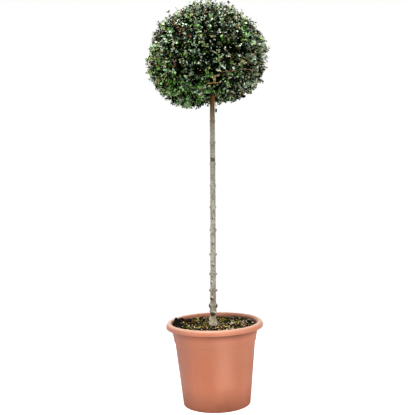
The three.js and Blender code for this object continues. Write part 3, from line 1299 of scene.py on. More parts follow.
    def build_clump(self) -> None:
        """Builds the dark clump of old moss and roots against the rim."""
        lump = bmesh.new()
        for x, y, top, across in self.clump_lumps:
            start = len(lump.verts)
            bmesh.ops.create_icosphere(lump, subdivisions=4, radius=1.0)
            lump.verts.ensure_lookup_table()
            tall = (top - self.clump_foot) / 2
            for corner in lump.verts[start:]:
                way = corner.co.normalized()
                rough = 1 + 0.2 * noise.fractal(way * 2.2 + Vector((x * 90, y * 90, 2)), 0.9, 2.2, 4)
                corner.co.x = x + way.x * across * rough
                corner.co.y = y + way.y * across * rough
                corner.co.z = self.clump_foot + tall * (1 + way.z * rough)
        mesh = bpy.data.meshes.new("dark_clump")
        lump.to_mesh(mesh)
        lump.free()
        mesh.polygons.foreach_set("use_smooth", [True] * len(mesh.polygons))
        finish = crumbly("dark clump", (28, 24, 17), (11, 10, 7), 140.0, 0.95, 0.002)
        mesh.materials.append(finish.make(self.effects))
        settle(linked("dark_clump", mesh), "moss", "moss_clump")

    def build_clods(self, rng: np.random.Generator, scatter: NodeTree) -> None:
        """Builds the dark clods heaped round the clump.

        Args:
            rng: The source of their shapes, places and turns.
            scatter: The scatter tree.
        """
        shapes = [crumb_shape(rng, (1.0, 0.85, 0.8), 0.3) for _ in range(self.kinds)]
        layout = Scatter()
        limit = self.pot.inner_radius(self.level) - self.clod_size
        for number in range(self.clods):
            share = (number + 0.5) / self.clods
            azimuth = self.clump_azimuth + self.clod_spread * (2 * share - 1) + rng.normal(0, 2)
            distance = limit - self.clod_depth * rng.random() ** 1.6
            x, y, _ = bearing(azimuth) * distance
            heap = self.clod_heap * bell(azimuth - self.clump_azimuth, self.heap_spread) * rng.random()
            size = self.clod_size * rng.uniform(*self.clod_sizes)
            turn = scattered(rng.random() * FULL_TURN, rng.normal(0, self.tilt), 0.0)
            place = Vector((x, y, self.surface(x, y) + 0.5 * size + heap))
            layout.put(place, turn, size, int(rng.integers(self.kinds)))
        finish = crumbly("dark clods", (32, 27, 19), (11, 10, 7), 150.0, 0.95, 0.002)
        piece = layout.grow("dark_clods", shapes, finish.make(self.effects), scatter, self.jitter, self.seed)
        settle(piece, "moss", "moss_clump")

    def build_stone(self, rng: np.random.Generator) -> None:
        """Builds the one larger white stone.

        Args:
            rng: The source of its shape.
        """
        points, faces = crumb_shape(rng, (0.0075, 0.0055, 0.0045), 0.2)
        x, y = self.white_stone
        stone = to_object("white_stone", points + np.array([x, y, self.surface(x, y) + 0.002]), faces, False)
        finish = crumbly("white stone", (236, 230, 220), (206, 198, 186), 200.0, 0.7)
        stone.data.materials.append(finish.make(self.effects))
        settle(stone, "potting_mix", "soil")


# Stem


@dataclass(frozen=True)
class Stub:
    """The stub of a pruned side shoot."""

    height: float
    azimuth: float
    proud: float
    reach: float


@dataclass
class Stem:
    """The bare stem with its flare, lean, pruned stubs and bark, up to its fork."""

    effects: Effects
    foot_x: float = -0.0066
    lean: float = 0.0288
    bow: float = 0.0014
    foot_radius: float = 0.0116
    fork_radius: float = 0.0099
    flare: float = 0.0045
    flare_height: float = 0.024
    flare_lobes: int = 3
    flare_depth: float = 0.12
    wander: tuple = (0.0007, 1.2, 18)
    fissures: tuple = (0.00028, 5, 46)
    plates: tuple = (0.00016, 11, 130)
    smooth_from: float = 1.24
    rough_from: float = 0.9
    knob_depth: float = 0.0046
    knob_top: float = 0.06
    bulge: float = 0.0022
    bulge_rise: float = 0.012
    bulge_height: float = 0.010
    ring_height: float = 1.010
    ring_depth: float = 0.0005
    ring_width: float = 0.004
    burrs: tuple = ((0.350, 190, 0.0058, 0.009), (0.331, 325, 0.0056, 0.008), (0.346, 20, 0.0030, 0.008),
                    (0.333, 215, 0.0030, 0.007), (0.371, 350, 0.0026, 0.010), (0.340, 100, 0.0040, 0.010))
    first_stub: float = 0.374
    last_stub: float = 1.180
    short_internode: float = 0.032
    long_internode: float = 0.044
    spurt: float = 0.008
    spurt_pair: int = 9
    spurt_spread: float = 1.6
    twisted_pairs: tuple = (3, 5)
    twist: float = -28.0
    low_proud: float = 0.0074
    high_proud: float = 0.0014
    stub_reach: float = 0.0046
    low_stub_gain: float = 0.0038
    stub_extent: float = 0.02
    ridge: float = 0.0011
    ridge_height: float = 0.0045
    dent: float = 0.25
    dent_reach: float = 0.36
    # On stubs that face front and back, the dark cut face is shifted down and aside as painted shade, and the
    # pale callus is shifted up and the other way as a painted highlight.
    shade_shift: tuple = (0.28, 0.24)
    face_edge: tuple = (0.72, 0.44)
    low_face_gain: tuple = (0.55, 0.45)
    low_face_run: float = 0.16
    fading_faces: tuple = (0.8, 0.95)
    face_fading: float = 0.75
    highlight_shift: tuple = (0.5, 0.55)
    callus_and_highlight_edge: tuple = (0.85, 0.5)
    callus_and_highlight_top: tuple = (0.85, 0.7)
    callus: float = 0.8
    row_step: float = 0.0014
    columns: int = 60

    def __post_init__(self) -> None:
        """Takes the stem's two ends from the frame."""
        low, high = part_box("trunk")
        self.foot_z, self.fork_z = low.z, high.z
        self.stubs = self.find_stubs()

    def centre(self, height: float) -> Vector:
        """The middle of the stem at a height."""
        bow = math.sin(math.pi * (height - self.foot_z) / (self.fork_z - self.foot_z))
        x = self.foot_x + self.lean * (height - self.foot_z) + self.bow * bow
        return Vector((x, 0.57 * self.bow * bow, height))

    def radius(self, height: float, angle: float = 0.0) -> float:
        """Finds the stem's plain radius.

        Args:
            height: The height above the ground.
            angle: The angle round the stem.

        Returns:
            The radius in metres.
        """
        up = height - self.foot_z
        taper = np.interp(height, (self.foot_z, self.fork_z), (self.foot_radius, self.fork_radius))
        flare = self.flare * math.exp(-up / self.flare_height)
        return float(taper) + flare * (1 + self.flare_depth * math.cos(self.flare_lobes * angle))

    def find_stubs(self) -> list[Stub]:
        """Places the opposite pairs of stubs, each pair about a quarter turn from the one below.

        Returns:
            Every stub, from the lowest.
        """
        stubs, height, pair = [], self.first_stub, 1
        while height < self.last_stub:
            share = (height - self.first_stub) / (self.last_stub - self.first_stub)
            proud = self.low_proud + (self.high_proud - self.low_proud) * math.sqrt(share)
            reach = self.stub_reach * (1 - 0.2 * share) + self.low_stub_gain * smoothstep(height, 0.46, 0.41)
            first = 90.0 * (pair % 2) + self.twist * (pair in self.twisted_pairs)
            stubs.append(Stub(height, first, proud, reach))
            stubs.append(Stub(height + 0.0015, first + 180, 0.9 * proud, reach))
            longer = self.long_internode - self.short_internode
            height += self.short_internode + longer * smoothstep(pair, 3, 9)
            height += self.spurt * bell(pair - self.spurt_pair, self.spurt_spread)
            pair += 1
        return stubs

    def bark(self, angle: float, height: float) -> float:
        """How far the bark itself stands proud of the plain stem.

        Args:
            angle: The angle round the stem.
            height: The height above the ground.

        Returns:
            The relief in metres.
        """
        way = Vector((math.cos(angle), math.sin(angle), 0.0))
        wander, fissures, plates = (
            Vector((way.x * across, way.y * across, height * up))
            for _, across, up in (self.wander, self.fissures, self.plates)
        )
        old = smoothstep(height, self.smooth_from, self.rough_from) * 0.6 + 0.4
        cracks = self.fissures[0] * noise.fractal(fissures, 0.9, 2.0, 3)
        proud = self.wander[0] * noise.noise(wander) + old * (cracks + self.plates[0] * noise.noise(plates))
        knobs = noise.noise(Vector((math.cos(angle) * 2.2 + 4, math.sin(angle) * 2.2, height * 75)))
        knob_top = self.foot_z + self.knob_top
        proud += self.knob_depth * knobs * smoothstep(height, knob_top, knob_top - 0.04)
        proud += self.bulge * bell(height - self.first_stub - self.bulge_rise, self.bulge_height)
        return proud - self.ring_depth * bell(height - self.ring_height, self.ring_width)

    def stub_relief(self, stub: Stub, off: float, side: float, up: float) -> tuple[float, float, float]:
        """How far a stub stands proud at a place near it, and how it is marked there.

        Args:
            stub: The stub.
            off: The place's angle from the stub's middle, round the stem.
            side: The same as a distance.
            up: The place's height above the stub's middle.

        Returns:
            The relief in metres, the share of dark cut face, set low as painted shade, and the share of pale
            callus, set high as a painted highlight.
        """
        away = math.hypot(side, up * (0.9 if stub.height > self.first_stub + 0.004 else 1.2))
        ridge = self.ridge * smoothstep(stub.height, self.last_stub, self.first_stub)
        ridge *= bell(up, self.ridge_height) * (0.5 + 0.5 * math.cos(2 * off))
        collar = stub.proud * math.exp(-((away / stub.reach) ** 2.8))
        dent = self.dent * stub.proud * bell(away, self.dent_reach * stub.reach)
        ahead = abs(math.sin(math.radians(stub.azimuth)))
        low = smoothstep(stub.height, self.first_stub + self.low_face_run, self.first_stub)
        # The dark face is set low and aside, as painted shade.
        across, rise = self.shade_shift
        face = math.hypot(side + across * ahead * stub.reach, up + rise * stub.reach) / stub.reach
        edges = (edge + gain * low for edge, gain in zip(self.face_edge, self.low_face_gain))
        mark = smoothstep(face, *edges)
        mark *= 1 - self.face_fading * ahead * smoothstep(stub.height, *self.fading_faces)
        # The pale callus is set high and the other way, as a painted highlight.
        across, rise = self.highlight_shift
        shoulder = math.hypot(side - across * stub.reach, up - rise * stub.reach) / stub.reach
        callus = self.callus * ahead * smoothstep(shoulder, *self.callus_and_highlight_edge)
        return max(ridge, 0.0) + collar - dent, mark, callus * smoothstep(stub.height, *self.callus_and_highlight_top)

    def relief(self, angle: float, height: float, around: float) -> tuple[float, float]:
        """How far the stem stands proud of its plain shape, and how much of it is a cut stub.

        Args:
            angle: The angle round the stem.
            height: The height above the ground.
            around: The stem's plain radius there.

        Returns:
            The relief in metres and the marking, from 1 on a cut face with painted shade to -1 on its callus
            with a painted highlight.
        """

        def off(azimuth: float) -> float:
            """The angle from an azimuth in degrees, from -pi to pi."""
            return (angle - math.radians(azimuth) + math.pi) % FULL_TURN - math.pi

        proud, cut = self.bark(angle, height), 0.0
        for rise, azimuth, burr, reach in self.burrs:
            proud += burr * math.exp(-(((height - rise) / reach) ** 2) - (off(azimuth) * around / reach) ** 2)
        for stub in self.stubs:
            if abs(height - stub.height) <= self.stub_extent:
                aside = off(stub.azimuth)
                more, mark, callus = self.stub_relief(stub, aside, aside * around, height - stub.height)
                proud += more
                cut = max(cut, mark) if mark > 0.02 or cut > 0 else min(cut, -callus)
        return proud, cut

    def build(self) -> None:
        """Builds the stem with its bark in relief."""
        rows = int(round((self.fork_z - self.foot_z) / self.row_step)) + 1
        points, cuts = [], []
        for height in np.linspace(self.foot_z, self.fork_z, rows):
            middle = self.centre(height)
            for column in range(self.columns):
                angle = FULL_TURN * column / self.columns
                around = self.radius(height, angle)
                proud, cut = self.relief(angle, height, around)
                x, y = (around + proud) * math.cos(angle), (around + proud) * math.sin(angle)
                points.append((middle.x + x, middle.y + y, height))
                cuts.append(cut)
        points += [self.centre(self.foot_z), self.centre(self.fork_z) + UP * 0.0002]
        cuts += [0.0, 0.0]
        stem = to_object("stem_bark", points, capped_faces(rows, self.columns))
        store(stem.data, "cut", "FLOAT", cuts)
        stem.data.materials.append(BarkFinish().make(self.effects))
        settle(stem, "bark", "trunk")


# Boughs and the ball


@dataclass(frozen=True)
class Bough:
    """One main bough: where it leaves the stem and how it rises."""

    node: str
    azimuth: float
    slope: float
    height: float


@dataclass(frozen=True)
class Shoot:
    """A point that growth can go on from, and the way in which it points."""

    place: Vector
    way: Vector


@dataclass(frozen=True)
class Tier:
    """One order of branching inside the ball."""

    name: str
    count: int
    share: float
    wander: float
    foot: float
    tip: float
    steps: int
    sides: int


@dataclass
class Boughs:
    """The two opposite pairs of boughs and the leader that carry the ball."""

    effects: Effects
    stem: Stem
    foot: float = 0.0058
    tip: float = 0.0037
    length: float = 0.130
    curl: float = 0.28
    collar: float = 0.0022
    collar_run: float = 0.009
    collar_width: float = 0.006
    roughness: float = 0.0004
    fine_roughness: float = 0.0002
    node_ridge: float = 0.0007
    nodes: float = 4.5
    leader_foot: float = 0.0094
    leader_neck: float = 0.0074
    leader_tip: float = 0.0052
    leader_length: float = 0.090
    leader_drift: float = 0.010
    leader_swell: float = 0.008
    leader_sink: float = 0.004
    rows: int = 70
    sides: int = 28
    limbs: tuple = (
        Bough("bough_left", 186, 0.85, 1.279),
        Bough("bough_right", 8, 0.95, 1.283),
        Bough("bough_front", 276, 1.15, 1.302),
        Bough("bough_back", 97, 1.05, 1.306),
    )

    def path(self, bough: Bough, share: float) -> Vector:
        """Finds the middle of a bough.

        Args:
            bough: The bough.
            share: The share of its length, from its foot.

        Returns:
            The place.
        """
        run = bearing(bough.azimuth)
        run.z = bough.slope
        run.normalize()
        start = self.stem.centre(bough.height)
        return start + run * self.length * share + UP * (self.curl * self.length * share * share)

    def leader_path(self, share: float) -> Vector:
        """The middle of the leader at a share of its length."""
        drift = Vector((self.leader_drift, -self.leader_drift / 2, self.leader_length))
        return self.stem.centre(self.stem.fork_z) + drift * share - UP * (self.leader_sink * (1 - share))

    def ends(self) -> list[Shoot]:
        """Where the next order of branching grows on.

        Returns:
            A shoot at each bough's end and one at a place along it.
        """
        found = []
        for path in [*(partial(self.path, bough) for bough in self.limbs), self.leader_path]:
            for share in (0.72, 0.99):
                found.append(Shoot(path(share), (path(share + 0.01) - path(share - 0.01)).normalized()))
        return found

    def radius(self, share: float) -> float:
        """A bough's radius at a share of its length, with the collar where it leaves the stem."""
        swell = self.collar * bell(share * self.length - self.collar_run, self.collar_width)
        return self.foot + (self.tip - self.foot) * share + swell

    def leader_radius(self, share: float) -> float:
        """The leader's radius at a share of its length."""
        neck = self.leader_neck + (self.leader_tip - self.leader_neck) * share
        swell = math.exp(-share * self.leader_length / self.leader_swell)
        return neck + (self.leader_foot - self.leader_neck) * swell

    def skin(self, path: Callable[[float], Vector], radius: Callable[[float], float]) -> list[Vector]:
        """Points of one limb with its bark in relief.

        Args:
            path: The limb's middle at a share of its length.
            radius: Its radius at a share of its length.

        Returns:
            Its rings' points and the two that close its ends.
        """
        points = []
        for row in range(self.rows):
            share = row / (self.rows - 1)
            middle = path(share)
            along = (path(min(share + 0.01, 1.01)) - path(share - 0.01)).normalized()
            side = along.cross(Vector((0.31, 0.17, -0.94))).normalized()
            across = along.cross(side)
            for column in range(self.sides):
                angle = FULL_TURN * column / self.sides
                way = side * math.cos(angle) + across * math.sin(angle)
                place = middle + way * 0.006
                reach = radius(share) + self.node_ridge * bell((share * self.nodes) % 1 - 0.5, 0.07)
                reach += self.roughness * noise.noise(place * 160)
                reach += self.fine_roughness * noise.noise(place * 520)
                points.append(middle + way * reach)
        return [*points, path(0.0), path(1.0)]

    def build(self) -> None:
        """Builds and dresses the boughs and the leader as one piece."""
        skins = [self.skin(partial(self.path, bough), self.radius) for bough in self.limbs]
        skins.append(self.skin(self.leader_path, self.leader_radius))
        points, faces = [], []
        for skin in skins:
            faces += capped_faces(self.rows, self.sides, len(points))
            points += skin
        boughs = to_object("bough_bark", points, faces)
        boughs.data.materials.append(YoungBark().make(self.effects))
        settle(boughs, "young_bark", *[bough.node for bough in self.limbs], "bough_leader")


@dataclass(frozen=True)
class Tint:
    """A colour of leaf, and how common it is.

    The young leaves near a shoot's tip and the old ones nearer its foot each have their own shares; the
    near-black old tints are partly older leaves and partly painted shade inside the ball. The three leanings
    say how many times commoner the colour is at the top, low on the left and at the sides; the top and side
    leanings are painted light, with paler leaves at the top and sides and darker ones in the middle.
    """

    name: str
    tint: tuple
    young: float
    old: float
    roughness: float = 0.34
    gloss: float = 0.8
    top: float = 1.0
    low_left: float = 1.0
    side: float = 1.0


# The pale, grey and blue-green tints are partly the leaves' own paler colour and partly painted glints,
# standing in for reflections of the lamps on glossy leaves.
TINTS = (
    Tint("shade_green", (3, 12, 2), 0.05, 0.40, 0.60, 0.0, 0.7, 1.0, 0.8),
    Tint("deep_green", (7, 20, 3), 0.19, 0.27, 0.40, 0.08, 0.6, 1.0, 0.5),
    Tint("forest_green", (22, 47, 17), 0.15, 0.18, 0.30, 0.5, 0.8, 1.3, 0.7),
    Tint("blue_green", (172, 205, 172), 0.215, 0.04, 0.29, 0.85, 1.25, 0.4, 1.2),
    Tint("mid_green", (136, 186, 92), 0.10, 0.06, 0.30, 0.9, 0.8, 4.5, 1.0),
    Tint("grey_green", (228, 238, 206), 0.095, 0.01, 0.32, 0.7, 2.6, 0.3, 2.8),
    Tint("pale_green", (204, 214, 178), 0.035, 0.0, 0.36, 0.5, 2.2, 0.2, 2.0),
    Tint("olive_green", (194, 186, 122), 0.075, 0.02, 0.34, 0.9, 1.4, 0.8, 2.2),
    Tint("fresh_green", (108, 188, 52), 0.048, 0.015, 0.30, 0.8, 0.3, 5.5, 0.7),
    Tint("yellow_green", (186, 184, 94), 0.016, 0.0, 0.34, 0.7, 0.9, 4.0, 1.8),
    Tint("bronze_green", (146, 92, 52), 0.020, 0.02, 0.36, 0.6, 1.2, 0.8, 1.4),
)


@dataclass
class Leaf:
    """One small leaf of unit length: oval, blunt, folded along its midrib and curled down at its tip."""

    width: float
    fold: float
    curl: float
    rows: tuple = ((0.30, 0.94), (0.74, 0.92))

    def shape(self) -> tuple[np.ndarray, list]:
        """The leaf's mesh, its stalk at the origin, its tip along +Y and its face up +Z.

        Returns:
            Its points and faces.
        """
        points = [(0.0, 0.0, 0.0)]
        for share, breadth in self.rows:
            half, drop = self.width / 2 * breadth, -self.curl * share * share
            edge = drop + self.fold * half
            points += [(-half, share, edge), (0.0, share, drop), (half, share, edge)]
        points.append((0.0, 1.0, -1.25 * self.curl))
        faces = [(0, 2, 1), (0, 3, 2), (1, 2, 5, 4), (2, 3, 6, 5), (4, 5, 7), (5, 6, 7)]
        return np.array(points), faces


@dataclass(frozen=True)
class Layer:
    """A depth of the ball at which sprays end: their share, their tips' depth and their pairs of leaves."""

    share: float
    depth: float
    spread: float
    pairs: int


@dataclass
class Ball:
    """The clipped ball: branches, twigs and sprays of leaves that grow on from the boughs."""

    effects: Effects
    boughs: Boughs
    centre: Vector = field(default_factory=lambda: Vector((0.008, 0.0, 1.430)))
    seed: int = 2025
    tiers: tuple = (
        Tier("limbs", 26, 0.38, 0.30, 0.0036, 0.0027, 9, 10),
        Tier("branches", 140, 0.57, 0.16, 0.0025, 0.0017, 7, 8),
        Tier("branchlets", 660, 0.74, 0.09, 0.0016, 0.0010, 5, 6),
    )
    layers: tuple = (Layer(0.56, 0.013, 0.010, 6), Layer(0.28, 0.036, 0.010, 5), Layer(0.16, 0.062, 0.012, 5))
    shortest_limb: float = 0.012
    sprays: int = 6200
    candidates: float = 1.05
    full_reach: float = 0.19
    spray_lengths: tuple = (0.8, 1.15)
    spray_lift: float = 0.45
    shoot_length: float = 0.040
    shoot_radius: float = 0.0008
    leaf_length: float = 0.0114
    leaf_kinds: int = 6
    size_jitter: float = 0.06
    leaf_droop: float = 0.16
    leaf_stray: float = 0.2
    leaf_facing: tuple = (0.7, 0.5)
    face_stray: float = 0.38
    first_pair: float = 0.16
    pair_run: float = 0.82
    pair_angle: float = 68.0
    pair_closing: float = 26.0
    tip_leaf: float = 0.6
    young_from: float = 0.30
    young_share: float = 0.56
    trim: float = 0.0045
    side_trim: float = 0.005
    crown_trim: float = 0.006
    painted_shade_depth: float = 0.026
    twig_foot: float = 0.0013
    strays: int = 120
    stray_reach: float = 0.18
    stray_out: tuple = (-0.004, 0.013)
    stray_lengths: tuple = (1.0, 1.3)
    bare_shoots: int = 18
    bare_lengths: tuple = (0.02, 0.036)
    bare_radius: float = 0.0011
    placed_shoots: tuple = (
        ((0.08, -0.83, -0.55), (1, 0, 0.02), 0.050, 0.0021),
        ((0.31, -0.86, -0.37), (1, 0.1, 0.05), 0.060, 0.0007),
        ((0.62, -0.68, -0.33), (1, 0.4, -0.12), 0.060, 0.0009),
        ((0.60, -0.72, -0.18), (1, 0.5, -0.35), 0.036, 0.0009),
        ((-0.42, -0.60, 0.66), (1, -0.2, -0.75), 0.030, 0.0013),
        ((-0.52, -0.70, 0.46), (0.3, 0, -1), 0.020, 0.0013),
    )
    hanging_height: float = 1.236
    hanging_size: float = 0.021
    pocket_height: float = 1.226
    pocket_radius: float = 0.070
    pocket_rise: float = 0.134
    stem_gap: float = 0.017
    stem_gap_top: float = 1.30
    front_gap: float = 0.015
    front_gap_top: float = 1.250

    def __post_init__(self) -> None:
        """Takes the ball's surface from the frame."""
        mesh = frame["nodes"]["foliage_head"].data
        corners = [corner.co for corner in mesh.vertices]
        self.surface = BVHTree.FromPolygons(corners, [tuple(face.vertices) for face in mesh.polygons])
        self.rng = np.random.default_rng(self.seed)
        self.leaves = {tint.name: Scatter() for tint in TINTS}
        self.twigs = Limbs("twigs")
        self.shoots = Limbs("young_shoots")

    def cast(self, way: Vector) -> tuple[float, Vector]:
        """Finds the ball's surface along a way from its centre.

        Args:
            way: The way, as a unit vector.

        Returns:
            How far the ball reaches there, and the way that its surface faces.
        """
        for nudge in (0.0, 0.004, -0.006):
            aim = (way + Vector((nudge, -nudge, nudge / 2))).normalized()
            _, normal, _, distance = self.surface.ray_cast(self.centre, aim)
            if distance is not None:
                return distance, normal if normal.dot(aim) > 0 else -normal
        return 0.22, way

    def jitter(self, reach: float) -> Vector:
        """A small random vector."""
        return Vector(self.rng.normal(0, reach, 3).tolist())

    def ways(self, count: int, wander: float) -> list[Vector]:
        """Directions spread evenly round the ball, each a little astray.

        Args:
            count: How many there are.
            wander: How far each strays.

        Returns:
            Unit vectors.
        """
        found = []
        for number in range(count):
            up = 1 - 2 * (number + 0.5) / count
            flat, turn = math.sqrt(1 - up * up), GOLDEN_ANGLE * number
            way = Vector((flat * math.cos(turn), flat * math.sin(turn), up)) + self.jitter(wander)
            found.append(way.normalized())
        return found

    def is_bare(self, place: Vector) -> bool:
        """Whether nothing grows at a place.

        Args:
            place: The place.

        Returns:
            True in the open pocket round the fork and in front of the stem's top.
        """
        off = place - self.boughs.stem.centre(place.z)
        flat = math.hypot(off.x, off.y)
        rise = (place.z - self.pocket_height) / self.pocket_rise
        in_pocket = rise < 1 and (flat / self.pocket_radius) ** 2 + max(rise, 0) ** 2 < 1
        at_stem = flat < self.stem_gap and place.z < self.stem_gap_top
        before_stem = abs(off.x) < self.front_gap and off.y < 0 and place.z < self.front_gap_top
        return at_stem or in_pocket or before_stem

    def grow_branches(self) -> list[Shoot]:
        """Grows each order of branching on from the last.

        Returns:
            The ends of the finest order.
        """
        parents = self.boughs.ends()
        material = crumbly("branch bark", (92, 70, 48), (72, 56, 40), 120.0, 0.85).make(self.effects)
        tree = limb_tree()
        for tier in self.tiers:
            limbs, ends = Limbs(tier.name), []
            for way in self.ways(tier.count, tier.wander):
                reach, _ = self.cast(way)
                place = self.centre + way * reach * tier.share * self.rng.uniform(0.9, 1.08)
                parent = min(parents, key=lambda s: (s.place + s.way * 0.02 - place).length_squared)
                distance = (place - parent.place).length
                if distance < self.shortest_limb:
                    continue
                run = (place - parent.place).normalized()
                arrive = (way + run * 0.6 + self.jitter(0.2)).normalized()
                leave = (parent.way + run + self.jitter(0.2)).normalized()
                pull = distance * 0.9
                points = bowed(parent.place, leave * pull, place, arrive * pull, tier.steps)
                thick = min(tier.foot, tier.tip + 0.02 * distance)
                limbs.put(points, np.linspace(thick, tier.tip, len(points)).tolist())
                ends.append(Shoot(place, arrive))
            settle(limbs.grow(tier.sides, material, tree), "young_bark", "foliage_head")
            parents = ends
        return parents

    def pick_tint(self, way: Vector, young: bool) -> Tint:
        """Deals out a colour for the young or the old leaves of a spray by where the spray is.

        Args:
            way: The spray's direction from the ball's centre.
            young: Whether it is for the young leaves near the tip.

        Returns:
            The tint.
        """
        # Leaves at the top and sides are dealt paler tints, and those in the middle darker ones, as painted
        # light.
        top = smoothstep(way.z, 0.25, 0.85)
        low_left = smoothstep(-way.x * 0.5 - way.z * 0.85, 0.15, 0.8)
        side = smoothstep(abs(way.x), 0.35, 0.9)
        weights = []
        for tint in TINTS:
            lean = tint.top**top * tint.low_left**low_left * tint.side**side
            weights.append((tint.young if young else tint.old) * lean)
        return TINTS[self.rng.choice(len(TINTS), p=np.array(weights) / sum(weights))]

    def put_leaf(self, tint: Tint, stalk: Vector, way: Vector, axis: Vector, size: float) -> None:
        """Adds one leaf, turned partly to the light.

        Args:
            tint: Its colour.
            stalk: Where it leaves the shoot.
            way: The way in which it points.
            axis: The way in which its shoot points.
            size: Its length.
        """
        if self.is_bare(stalk + way * size * 0.6):
            return
        along = (way - UP * self.leaf_droop + self.jitter(self.leaf_stray)).normalized()
        out, up = self.leaf_facing
        face = axis * out + UP * up + self.jitter(self.face_stray)
        side = along.cross(face).normalized()
        turn = Matrix((side, along, side.cross(along))).transposed()
        self.leaves[tint.name].put(stalk, turn, size, int(self.rng.integers(self.leaf_kinds)))

    def put_spray(
        self, foot: Vector, way: Vector, length: float, pairs: int, young: list[Tint], old: Tint
    ) -> None:
        """Adds one shoot with opposite pairs of leaves, each pair a quarter turn from the last.

        Args:
            foot: Where the shoot starts.
            way: The way in which it points.
            length: Its length.
            pairs: How many pairs of leaves it has.
            young: The two colours of the leaves near its tip, which take turns.
            old: The colour of the leaves nearer its foot.
        """
        bend = self.jitter(0.10) + UP * 0.06
        tip = foot + (way + bend).normalized() * length
        points = bowed(foot, way * length, tip, (way + 2 * bend).normalized() * length, 2)
        self.shoots.put(points, [self.shoot_radius * s for s in (1.0, 0.8, 0.5)])
        axis = (tip - foot).normalized()
        side = axis.orthogonal().normalized()
        side.rotate(Matrix.Rotation(self.rng.random() * FULL_TURN, 3, axis))
        for pair in range(pairs):
            share = self.first_pair + self.pair_run * (pair / (pairs - 1))
            chance = self.young_share * smoothstep(share, self.young_from, 0.75)
            place = foot + (tip - foot) * share + bend * length * share * (share - 1) * 0.5
            spread = math.radians(self.pair_angle - self.pair_closing * share + self.rng.normal(0, 8))
            size = self.leaf_length * (0.84 + 0.28 * math.sin(math.pi * min(share, 0.9)))
            size *= self.rng.uniform(0.78, 1.18)
            side.rotate(Matrix.Rotation(math.pi / 2 + self.rng.normal(0, 0.25), 3, axis))
            for sign in (1, -1):
                out = side * sign
                way_out = out * math.sin(spread) + axis * math.cos(spread)
                tint = young[(pair + (sign > 0)) % 2] if self.rng.random() < chance else old
                stalk = place + out * self.shoot_radius * 0.7
                self.put_leaf(tint, stalk, way_out, axis, size * self.rng.uniform(0.88, 1.12))
        stray = axis + self.jitter(0.3)
        self.put_leaf(young[0], tip, stray, axis + self.jitter(0.8), self.leaf_length * self.tip_leaf)

    def grow_sprays(self, parents: list[Shoot]) -> None:
        """Grows the sprays of leaves from the finest branches out to the clipped surface.

        Args:
            parents: The ends of the finest branches.
        """
        feet = np.array([tuple(parent.place) for parent in parents])
        shares = np.cumsum([layer.share for layer in self.layers])
        for way in self.ways(int(self.sprays * self.candidates), 0.035):
            reach, normal = self.cast(way)
            if self.rng.random() > min(1.0, (reach / self.full_reach) ** 2):
                continue
            layer = self.layers[int(np.searchsorted(shares, self.rng.random() * shares[-1]))]
            depth = layer.depth + self.rng.normal(0, layer.spread)
            trim = self.trim + self.crown_trim * smoothstep(way.z, 0.2, 0.9)
            trim += self.side_trim * smoothstep(way.x - way.z, 0.6, 1.3)
            tip = self.centre + way * (reach - trim - max(depth, -0.006))
            lift = self.spray_lift * smoothstep(way.z, -0.5, 0.3)
            aim = (way * 0.6 + normal * 0.4 + UP * lift + self.jitter(0.26)).normalized()
            length = self.shoot_length * self.rng.uniform(*self.spray_lengths)
            foot = tip - aim * length
            self.link(foot, aim, parents, feet)
            # Sprays that end deeper in the ball take only the dark old tints, as painted shade.
            young = [self.pick_tint(way, depth < self.painted_shade_depth) for _ in range(2)]
            self.put_spray(foot, aim, length, layer.pairs, young, self.pick_tint(way, False))

    def link(self, foot: Vector, aim: Vector, parents: list[Shoot], feet: np.ndarray) -> None:
        """Joins a spray's foot to the nearest branch by a twig.

        Args:
            foot: The spray's foot.
            aim: The way in which the spray points.
            parents: The branches' ends.
            feet: The branches' ends as rows.
        """
        gaps = np.square(feet - np.array(foot)).sum(axis=1)
        parent = parents[int(gaps.argmin())]
        distance = (foot - parent.place).length
        leave = (parent.way + (foot - parent.place).normalized()).normalized()
        points = bowed(parent.place, leave * distance, foot, aim * distance, 3)
        self.twigs.put(points, np.linspace(self.twig_foot, self.shoot_radius, 4).tolist())

    def grow_strays(self, parents: list[Shoot]) -> None:
        """Grows the few longer shoots that stand out of the clipped surface.

        Args:
            parents: The ends of the finest branches.
        """
        feet = np.array([tuple(parent.place) for parent in parents])
        for number in range(self.strays):
            rise, wander, lift = (1.0, 0.55, 0.9) if number % 2 == 0 else (0.1, 1.0, 0.25)
            way = (UP * rise + self.jitter(wander)).normalized()
            reach, normal = self.cast(way)
            if reach < self.stray_reach:
                continue
            out = self.rng.uniform(*self.stray_out)
            aim = (normal + UP * lift + self.jitter(0.25)).normalized()
            length = self.shoot_length * self.rng.uniform(*self.stray_lengths)
            foot = self.centre + way * (reach + out) - aim * length
            self.link(foot, aim, parents, feet)
            young, old = [self.pick_tint(way, True) for _ in range(2)], self.pick_tint(way, False)
            self.put_spray(foot, aim, length, int(self.rng.integers(3, 6)), young, old)

    def grow_bare_shoots(self) -> None:
        """Grows the bare orange-brown shoots left by clipping."""
        bare = Limbs("clipped_shoots")
        spots = [(Vector(way), Vector(run), *sizes) for way, run, *sizes in self.placed_shoots]
        for way in self.ways(self.bare_shoots, 0.2):
            if way.z > -0.7 and way.y > -0.4:
                run = (self.jitter(1.0) + way * 0.8 + UP * 0.3).normalized()
                spots.append((way, run, self.rng.uniform(*self.bare_lengths), self.bare_radius))
        for way, run, length, radius in spots:
            way, run = way.normalized(), run.normalized()
            reach, _ = self.cast(way)
            middle, half = self.centre + way * (reach - 0.004), run * length / 2
            points = bowed(middle - half, run * length, middle + half, (run + self.jitter(0.1)) * length, 4)
            if not any(self.is_bare(point) for point in points):
                bare.put(points, np.linspace(radius, 0.75 * radius, 5).tolist())
        finish = crumbly("clipped shoots", (202, 150, 106), (150, 106, 72), 150.0, 0.7)
        settle(bare.grow(7, finish.make(self.effects), limb_tree()), "young_bark", "foliage_head")

